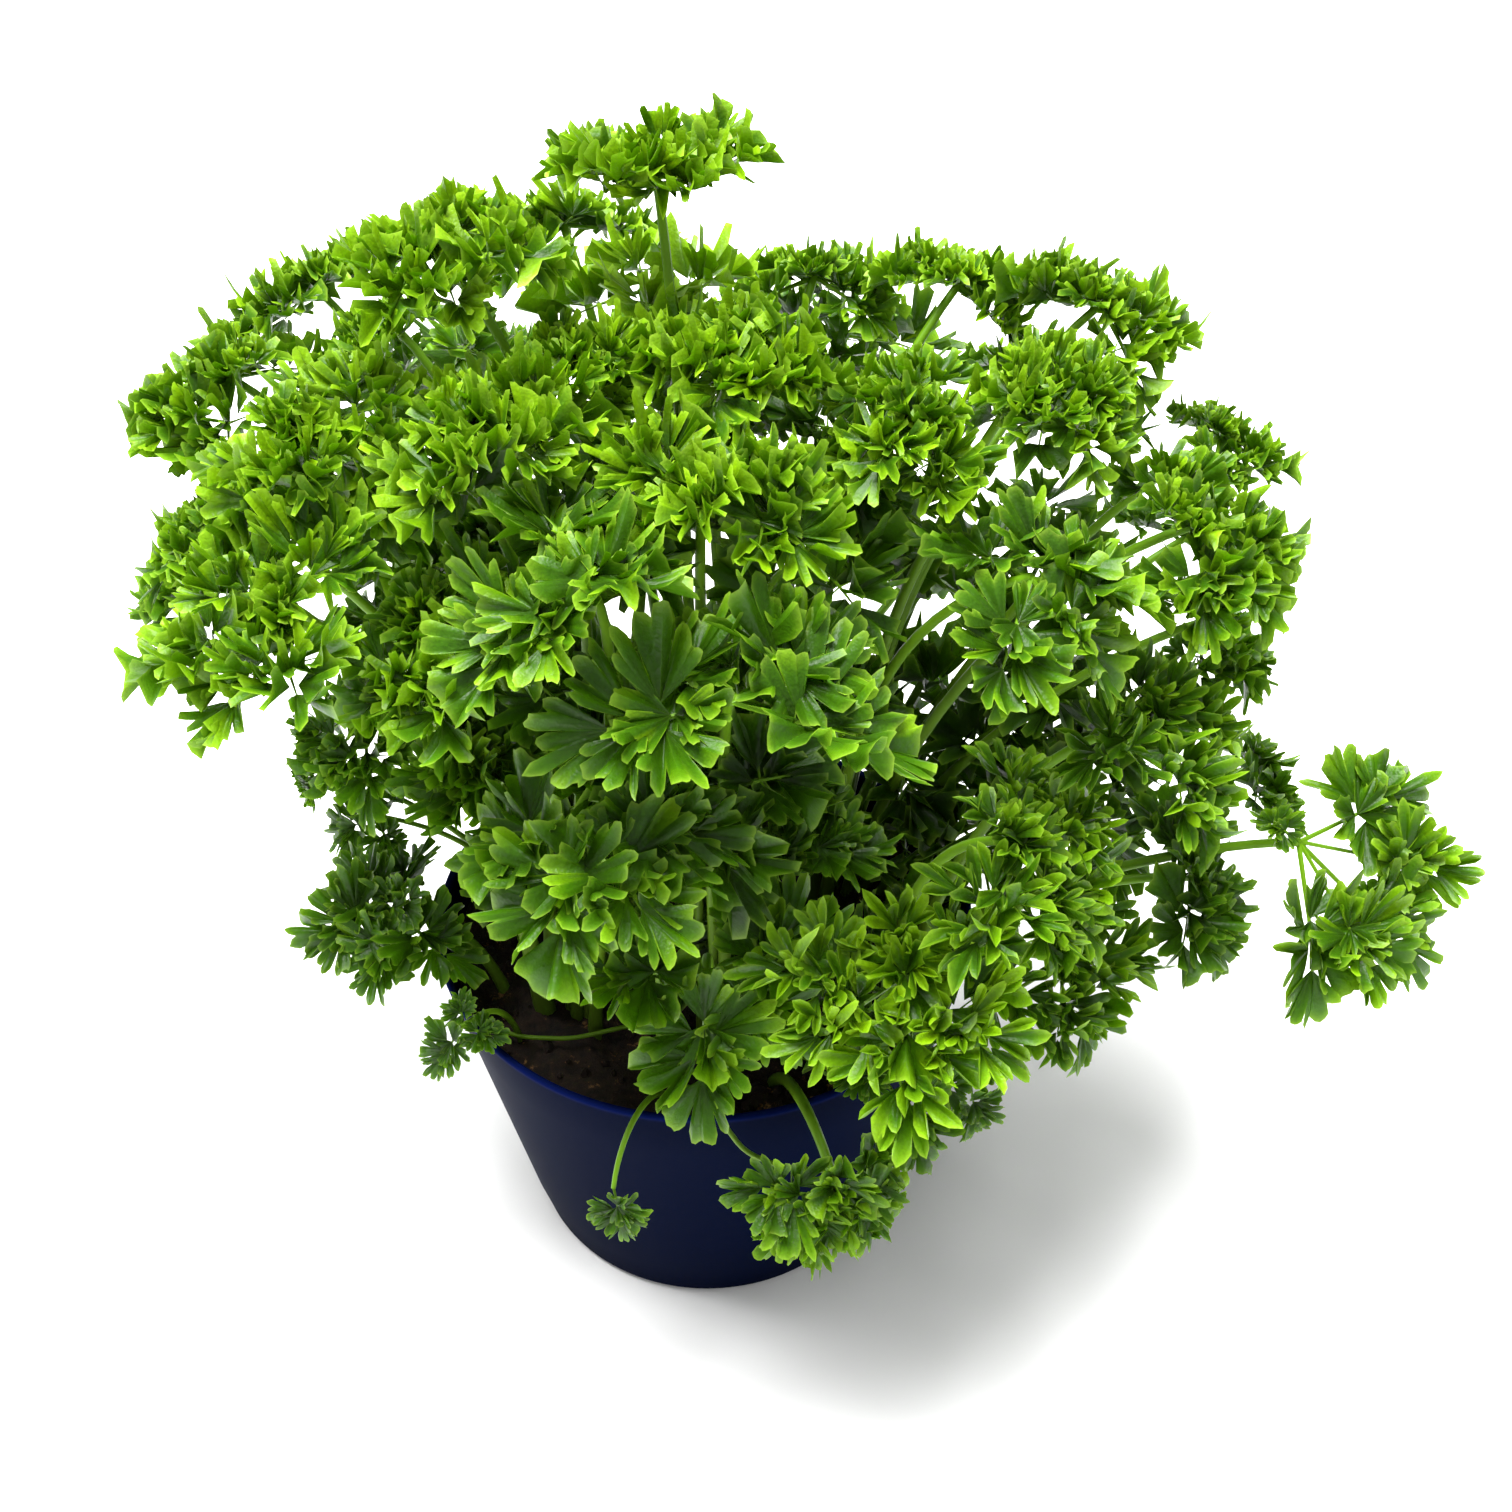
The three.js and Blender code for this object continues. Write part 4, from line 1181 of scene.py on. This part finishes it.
class PARSLEY_OT_pot(bpy.types.Operator):
    """Build the round plastic pot with its drain holes"""

    bl_idname = "parsley.pot"
    bl_label = "Pot"

    def execute(self, context):
        settings = context.scene.parsley_pot
        height, rim, foot, floor = (POT[k] for k in ("height", "rim", "foot", "floor"))
        bead, bend = POT["wall"] / 2, POT["foot_round"]
        profile = [(0, 0)] + arc((foot - bend, bend), bend, -90, 0, 7)
        profile += [(foot + (rim - foot) * z / height, z) for z in WALL_STOPS]
        profile += arc((rim - bead, height - bead), bead, -10, 190, 12)
        profile += [(inner_radius(z), z) for z in reversed(WALL_STOPS)]
        profile += [(inner_radius(floor) - FLOOR_BEND, floor), (0, floor)]
        points, faces = lathe(profile, settings.sides)
        mesh = mesh_of("Pot", points, [face[::-1] for face in faces])
        shaped = bmesh.new()
        shaped.from_mesh(mesh)
        bmesh.ops.recalc_face_normals(shaped, faces=shaped.faces)
        shaped.to_mesh(mesh)
        shaped.free()
        pot = link("Pot", mesh)
        wide, low, high = DRAIN["radius"], -DRILL_PAST, 2 * DRILL_PAST
        points, faces = lathe([(0, low), (wide, low), (wide, high), (0, high)], DRILL_SIDES)
        drills = []
        for i in range(DRAIN["count"]):
            angle = (i + 0.5) / DRAIN["count"] * 2 * math.pi
            east, north = DRAIN["ring"] * math.cos(angle), DRAIN["ring"] * math.sin(angle)
            moved = [(x + east, y + north, z) for x, y, z in points]
            drills.append(link("Drill", mesh_of("Drill", moved, faces)))
            cut = pot.modifiers.new("Drain hole", "BOOLEAN")
            cut.operation = "DIFFERENCE"
            cut.solver = "EXACT"
            cut.object = drills[-1]
        context.view_layer.update()
        drilled = pot.evaluated_get(context.evaluated_depsgraph_get())
        solid = bpy.data.meshes.new_from_object(drilled)
        pot.modifiers.clear()
        pot.data = solid
        for drill in drills:
            bpy.data.objects.remove(drill)
        solid.materials.clear()
        solid.materials.append(pot_material(settings))
        solid.polygons.foreach_set("use_smooth", [True] * len(solid.polygons))
        solid.set_sharp_from_angle(angle=math.radians(SHARP["pot"]))
        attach(pot, "root")
        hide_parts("pot")
        return {"FINISHED"}


# The compost: points round it, rings on its top, and the heights of the rings down its side
AROUND, TOP_RINGS = 150, 44
SIDE_STOPS = (50, 25)
# Its finer waves: how many there are of each sort, and each sort's radians per mm and height
LUMPS_EACH = 5
LUMPS = ((0.9, 0.225), (1.7, 0.144), (3.1, 0.09))
# How far its grains stand up or down, its edge lies lower, and its foot is in from the pot
GRAINS = 0.14
EDGE_DROP = 1
FOOT_IN = 1
# Its loose crumbs: how far out they lie, how small most are, and how uneven, as shares
CRUMB = {
    "out": 0.96,
    "sizes": (0.25, 1.0),
    "smaller": 1.6,
    "sides": (0.6, 1.2),
    "corners": (0.75, 1.2),
    "above": 0.35,
}


def compost_plug(rng):
    """The points and faces of the plug of compost, uneven on top."""
    edge = inner_radius(SOIL_TOP) - GAP
    radii = np.linspace(0, edge, TOP_RINGS + 1)[1:]
    angle = np.arange(AROUND) / AROUND * 2 * math.pi
    cos, sin = np.cos(angle), np.sin(angle)
    x, y = radii[:, None] * cos, radii[:, None] * sin
    rough = np.zeros_like(x)
    for scale, height in LUMPS:
        for _ in range(LUMPS_EACH):
            turn, phase = rng.uniform(0, 2 * math.pi, 2)
            rough += height * np.sin(scale * (x * math.cos(turn) + y * math.sin(turn)) + phase)
    top = soil_height(x, y) + rough + rng.normal(0, GRAINS, x.shape)
    top[-1] = SOIL_TOP - EDGE_DROP
    bottom = POT["floor"] + GAP
    rings = [np.stack([x, y, top], -1).reshape(-1, 3)]
    foot = inner_radius(POT["floor"]) - GAP - FOOT_IN
    sides = [(z, inner_radius(z) - GAP) for z in SIDE_STOPS] + [(bottom, foot)]
    for z, wide in sides:
        rings.append(np.stack([cos * wide, sin * wide, np.full(AROUND, float(z))], -1))
    points = np.concatenate(rings + [[[0, 0, soil_height(0, 0)], [0, 0, bottom]]])
    middle, under = len(points) - 2, len(points) - 1
    last = middle - AROUND
    tris = [(middle, k, (k + 1) % AROUND) for k in range(AROUND)]
    tris += [(under, last + (k + 1) % AROUND, last + k) for k in range(AROUND)]
    return points, ring_quads(middle // AROUND, AROUND)[:, [0, 3, 2, 1]], tris


class PARSLEY_OT_soil(bpy.types.Operator):
    """Build the compost with the crumbs that lie on it"""

    bl_idname = "parsley.soil"
    bl_label = "Compost"

    def execute(self, context):
        settings = context.scene.parsley_soil
        rng = np.random.default_rng(SEEDS["soil"])
        mould = Mould()
        mould.add(*compost_plug(rng))
        ball = bmesh.new()
        bmesh.ops.create_icosphere(ball, subdivisions=1, radius=1)
        corners = np.array([v.co[:] for v in ball.verts])
        sides = np.array([[v.index for v in f.verts] for f in ball.faces])
        ball.free()
        edge = inner_radius(SOIL_TOP) - GAP
        for _ in range(settings.crumbs):
            radius = edge * math.sqrt(rng.uniform(0, CRUMB["out"]))
            turn = rng.uniform(0, 2 * math.pi)
            x, y = radius * math.cos(turn), radius * math.sin(turn)
            size = settings.crumb / MM * rng.uniform(*CRUMB["sizes"]) ** CRUMB["smaller"]
            size = size * rng.uniform(*CRUMB["sides"], 3)
            lump = corners * size * rng.uniform(*CRUMB["corners"], (len(corners), 1))
            lump = lump + [x, y, soil_height(x, y) + CRUMB["above"] * size[2]]
            mould.add(lump, (), sides)
        soil = mould.build("Compost", [soil_material(settings)], SHARP["soil"])
        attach(soil, "root")
        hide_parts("soil")
        return {"FINISHED"}


# More blades of a grown leaf's head: bearing, reach, size, and how far each is bent back
MORE_BLADES = {
    "full": [(52, 0.28, 0.68, -6), (-52, 0.28, 0.68, -6), (176, 0.02, 0.56, -34)],
    "spray": [(180, 0.1, 0.22, -30), (30, 0.54, 0.48, -14), (-26, 0.56, 0.46, -14)],
    "young": [(112, 0.26, 0.6, 10), (-112, 0.26, 0.6, 10)],
}


# Shaded leaves inside the plant that no solid stands for: crown, head, span, and youth
INNER_LEAVES = [
    ("back", (-12, 54, 212), 26, 0.85),
    ("back_right", (66, 36, 118), 30, 0.0),
    ("back_right", (52, 52, 140), 30, 0.05),
    ("back_right", (84, 30, 128), 28, 0.05),
    ("back_right", (78, 58, 150), 28, 0.1),
    ("back_right", (30, 50, 160), 28, 0.1),
    ("back_right", (10, 30, 140), 28, 0.0),
    ("back", (-14, 60, 168), 28, 0.1),
    ("back", (12, 62, 186), 26, 0.35),
    ("back_left", (-46, 52, 150), 28, 0.05),
    ("back_left", (-66, 34, 150), 26, 0.1),
    ("back_left", (-34, 20, 132), 28, 0.0),
    ("front_left", (-22, -14, 150), 26, 0.1),
    ("front", (18, -12, 160), 26, 0.15),
    ("front", (-2, -30, 150), 24, 0.1),
    ("front", (0, -22, 106), 22, 0.0),
    ("front_right", (34, -38, 104), 22, 0.0),
    ("back_left", (-40, -2, 108), 22, 0.0),
    ("back_left", (-12, -2, 192), 28, 0.25),
    ("back_right", (22, -4, 188), 28, 0.25),
    ("back_right", (34, 24, 196), 26, 0.3),
    ("back", (-6, 26, 196), 28, 0.3),
    ("front_left", (-34, -22, 176), 26, 0.2),
    ("front", (2, -44, 162), 26, 0.15),
    ("back_left", (-52, 12, 196), 26, 0.3),
    ("back_left", (-72, 30, 184), 26, 0.25),
    ("back", (-60, 72, 188), 26, 0.3),
    ("back", (30, 84, 184), 26, 0.3),
    ("back_right", (72, 44, 190), 26, 0.3),
    ("back_right", (46, 26, 114), 30, 0.0),
    ("back_right", (70, 34, 102), 30, 0.0),
    ("front_right", (62, 8, 98), 28, 0.0),
    ("front_right", (44, 0, 94), 26, 0.0),
    ("back_right", (88, 12, 112), 28, 0.05),
]


# Thin young stalks that loop over the compost and the rim: radius, then the points they pass
LOOP_STEPS = 30
LOOP_SOFTENINGS = 3
LOOP_AGE = 0.4
LOOPS = [
    (0.8, (12, -38, 70), (4, -48.5, 82), (-6, -48, 81.5), (-8.6, -45, 88), (-8.4, -39, 106)),
    (0.7, (8, -34, 70), (2, -44.5, 83), (-4, -44.5, 82.5), (-6, -43, 89), (-5, -37, 106)),
    (0.55, (2, -42, 72), (2.6, -52, 89), (3.6, -61, 89), (9, -65, 82), (17, -66, 78),
     (28, -66, 77)),
    (0.5, (-52, -24, 76), (-39, -33, 80.5), (-28, -33.5, 80.5), (-14, -30.5, 82), (-4, -28, 78)),
]


# A stalk's steps, its sides, and its radius along it as a share of the solid's
STALK_STEPS = 20
STALK_SIDES = 8
STALK_TAPER = ([0, 0.12, 0.25, 1], [1.25, 1.05, 0.9, 0.7])
SLENDER = {"inner": 0.85, "young": 0.55}
# The radius of a side stalk, on a branch that its solid has and on one more
SIDE_STALK = {"own": 0.6, "more": 0.5}
# The four branches of an inner leaf, as shares of its span
INNER = {"reach": 0.3, "size": 0.76, "curly": 0.6}


def grow_stalk(mould, controls, foot, slender):
    """A leaf's stalk, stoutest at its foot."""
    t = np.linspace(0, 1, STALK_STEPS)
    middles = np.array([curve_point(controls, s) for s in t])
    radii = (foot + (STALK["neck"] - foot) * t) * np.interp(t, *STALK_TAPER)
    add_tube(mould, middles, radii * slender, STALK_SIDES, along=t)


def grow_branch(mould, around, branch, habit, curly, rng, young, paler, thickness):
    """A blade that no solid stands for, and its side stalk."""
    waves = rng.uniform(*WAVES, (len(LEAFLETS), len(EDGE)))
    place, size = blade_place(around, branch)
    add_blade(mould, place, waves, habit, curly, rng, young + paler, thickness)
    if branch["reach"]:
        add_rachis(mould, place, branch["reach"] / size, SIDE_STALK["more"], young)


class PARSLEY_OT_inner_leaves(bpy.types.Operator):
    """Build the shaded leaves inside the plant"""

    bl_idname = "parsley.inner_leaves"
    bl_label = "Inner leaves"

    def execute(self, context):
        thickness = context.scene.parsley_leaf.thickness / MM
        rng = np.random.default_rng(SEEDS["inner"])
        mould = Mould()
        for crown, head, span, young in INNER_LEAVES:
            leaf = ("inner", crown, head, span, {"turn": rng.uniform(0, 360)})
            around = leaf_frame(leaf, 0, 0)
            controls = stalk_controls(leaf, around, 0, 0, 0)
            grow_stalk(mould, controls, STALK["foot"], SLENDER["inner"])
            for bearing in (0, 90, 180, 270):
                reach, size = INNER["reach"] * span, INNER["size"] * span
                branch = draw_branch(rng.uniform, "inner", bearing, 0, reach, size)
                looks = ("shaded", INNER["curly"], rng, young, 0, thickness)
                grow_branch(mould, around, branch, *looks)
        for radius, *stops in LOOPS:
            steps = np.linspace(0, len(stops) - 1, LOOP_STEPS)
            path = np.stack([np.interp(steps, range(len(stops)), axis) for axis in zip(*stops)], -1)
            for _ in range(LOOP_SOFTENINGS):
                path[1:-1] = (path[:-2] + 2 * path[1:-1] + path[2:]) / 4
            add_tube(mould, path, radius, STALK_SIDES, along=LOOP_AGE)
        materials = [bpy.data.materials[name] for name in (LEAF_NAME, STALK_NAME)]
        piece = mould.build("Inner_leaves", materials)
        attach(piece, "root")
        return {"FINISHED"}


# The higher a leaf's head is, from here to there in mm, the more curled and the younger it is;
# youth makes it paler, partly as younger growth and partly as painted light from above
HEIGHTS = (95, 225)
CURLY = {"least": 0.2, "more": 0.65, "curled_from": 0.42}
YOUNG = {"least": 0.2, "more": 0.42, "power": 1.6}
# The small leaf in the heart of a curled one, and how much paler or darker such blades are; the
# heart's are darker as painted shade deep in the head
HEART_LEAF = {"bearing": 0, "droop": 0, "roll": 0, "reach": 0, "fold": 0.1, "curl": 0.1}
HEART_SHARE = 0.42
PALER, PAINTED_HEART_SHADE = 0.05, 0.1


class PARSLEY_OT_leaves(bpy.types.Operator):
    """Build every leaf: its stalk, its side stalks and its curled blades"""

    bl_idname = "parsley.leaves"
    bl_label = "Leaves"

    def execute(self, context):
        settings = context.scene.parsley_leaf
        materials = [leaf_material(settings), stalk_material(settings)]
        ways = stalk_ways()
        thickness = settings.thickness / MM
        for number, leaf in enumerate(LEAVES):
            name, _, head, span, more = leaf
            low, top = HEIGHTS
            high = float(np.clip((head[2] - low) / (top - low), 0, 1))
            curly = more.get("curly", CURLY["least"] + CURLY["more"] * high)
            habit = more.get("habit", "curled" if curly > CURLY["curled_from"] else "flat")
            young = more.get("young", YOUNG["least"] + YOUNG["more"] * high ** YOUNG["power"])
            plan, droop = more.get("plan", "full"), more.get("droop", DROOP)
            slender = SLENDER["young"] if plan == "young" else 1.0
            rng = np.random.default_rng(SEEDS["leaf"] + number)
            mould = Mould()
            cloud = cloud_of(name)
            around, controls = find_stalk(leaf, cloud, ways)
            grow_stalk(mould, controls, more.get("foot", STALK["foot"]), slender)
            for branch in leaf_plan(leaf, draws_from(SEEDS["solid"] + number)):
                way = find_blade(leaf, cloud, around, branch)
                place, size = blade_place(around, branch, way)
                add_blade(mould, place, branch["waves"], habit, curly, rng, young, thickness)
                radius = SIDE_STALK["own"] * slender
                add_rachis(mould, place, branch["reach"] / size, radius, young)
            spare = MORE_BLADES[plan]
            spare = spare[1:] if name.startswith("leaf_rear") else spare[: more.get("spare", 3)]
            for bearing, reach, size, back in spare:
                meant = (bearing, droop + back, reach * span, size * span)
                branch = draw_branch(rng.uniform, "more", *meant)
                grow_branch(mould, around, branch, habit, curly, rng, young, PALER, thickness)
            if plan == "full" and habit != "flat":
                branch = HEART_LEAF | {"size": HEART_SHARE * span}
                grow_branch(mould, around, branch, "heart", curly, rng, young, -PAINTED_HEART_SHADE, thickness)
            piece = mould.build(name.replace("leaf_", "Leaf_"), materials)
            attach(piece, "root")
            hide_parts(name)
        return {"FINISHED"}


# Where the lamps stand and how wide they are, and the point that they face, in metres
LAMPS = {"Key light": ((-0.5, 0.3, 3.0), 2.2), "Fill light": ((0.3, -1.5, 1.0), 1.0)}
LAMPS_FACE = Vector((0, 0, 0.15))
FLOOR = {"half_width": 3000, "under": 0.0002}
EYE = (0.0115, -0.347, 0.439)
EYE_TILT = 48.5


class PARSLEY_OT_stage(bpy.types.Operator):
    """Set up the pale floor, the soft light and the camera"""

    bl_idname = "parsley.stage"
    bl_label = "Stage"

    def execute(self, context):
        settings = context.scene.parsley_stage
        wide = FLOOR["half_width"]
        corners = [(-wide, -wide, 0), (wide, -wide, 0), (wide, wide, 0), (-wide, wide, 0)]
        floor = link("Floor", mesh_of("Floor", corners, [(0, 1, 2, 3)]))
        floor.location.z = -FLOOR["under"]
        tree = Tree("Floor, matte white board")
        skin = tree.add("BsdfPrincipled", Base_Color=settings.floor, Roughness=0.9)
        tree.add("OutputMaterial", Surface=skin)
        floor.data.materials.append(tree.material)
        floor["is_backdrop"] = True
        for energy, (name, (place, size)) in zip((settings.key, settings.fill), LAMPS.items()):
            lamp = bpy.data.lights.new(name, "AREA")
            lamp.energy = energy
            lamp.size = size
            light = link(name, lamp)
            light.location = place
            light.rotation_euler = (LAMPS_FACE - light.location).to_track_quat("-Z", "Y").to_euler()
            light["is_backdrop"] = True
        world = bpy.data.worlds.new("Studio")
        world.use_nodes = True
        sky = world.node_tree.nodes["Background"].inputs
        sky["Color"].default_value = (1, 1, 1, 1)
        sky["Strength"].default_value = settings.sky
        context.scene.world = world
        lens = bpy.data.cameras.new("Camera")
        lens.lens = 52.38
        lens.sensor_width = 36
        lens.clip_start = 0.01
        camera = link("Camera", lens)
        camera.location = EYE
        camera.rotation_euler = (math.radians(EYE_TILT), 0, 0)
        context.scene.camera = camera
        # The default transform would wash out the bright greens
        context.scene.view_settings.view_transform = "Standard"
        return {"FINISHED"}


class PARSLEY_PT_panel(bpy.types.Panel):
    """Steps and settings of the potted parsley"""

    bl_label = "Parsley"
    bl_idname = "PARSLEY_PT_panel"
    bl_space_type = "VIEW_3D"
    bl_region_type = "UI"
    bl_category = "Parsley"

    def draw(self, context):
        for operator, group in STEPS:
            self.layout.operator(operator.bl_idname)
            settings = getattr(context.scene, group)
            for key in settings.__annotations__:
                self.layout.prop(settings, key)


STEPS = [
    (PARSLEY_OT_pot, "parsley_pot"),
    (PARSLEY_OT_soil, "parsley_soil"),
    (PARSLEY_OT_leaves, "parsley_leaf"),
    (PARSLEY_OT_inner_leaves, "parsley_leaf"),
    (PARSLEY_OT_stage, "parsley_stage"),
]
GROUPS = {
    "parsley_pot": PotSettings,
    "parsley_soil": SoilSettings,
    "parsley_leaf": LeafSettings,
    "parsley_stage": StageSettings,
}


def register():
    for name, group in GROUPS.items():
        bpy.utils.register_class(group)
        setattr(bpy.types.Scene, name, PointerProperty(type=group))
    for operator, _ in STEPS:
        bpy.utils.register_class(operator)
    bpy.utils.register_class(PARSLEY_PT_panel)


def unregister():
    bpy.utils.unregister_class(PARSLEY_PT_panel)
    for operator, _ in reversed(STEPS):
        bpy.utils.unregister_class(operator)
    for name, group in GROUPS.items():
        delattr(bpy.types.Scene, name)
        bpy.utils.unregister_class(group)


def main():
    """Build every piece and the stage."""
    register()
    bpy.ops.parsley.pot()
    bpy.ops.parsley.soil()
    bpy.ops.parsley.leaves()
    bpy.ops.parsley.inner_leaves()
    bpy.ops.parsley.stage()
    for label, box in (("cad", CAD_BOX), ("visual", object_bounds())):
        [[float(v) for v in corner] for corner in box]


if __name__ == "__main__":
    main()
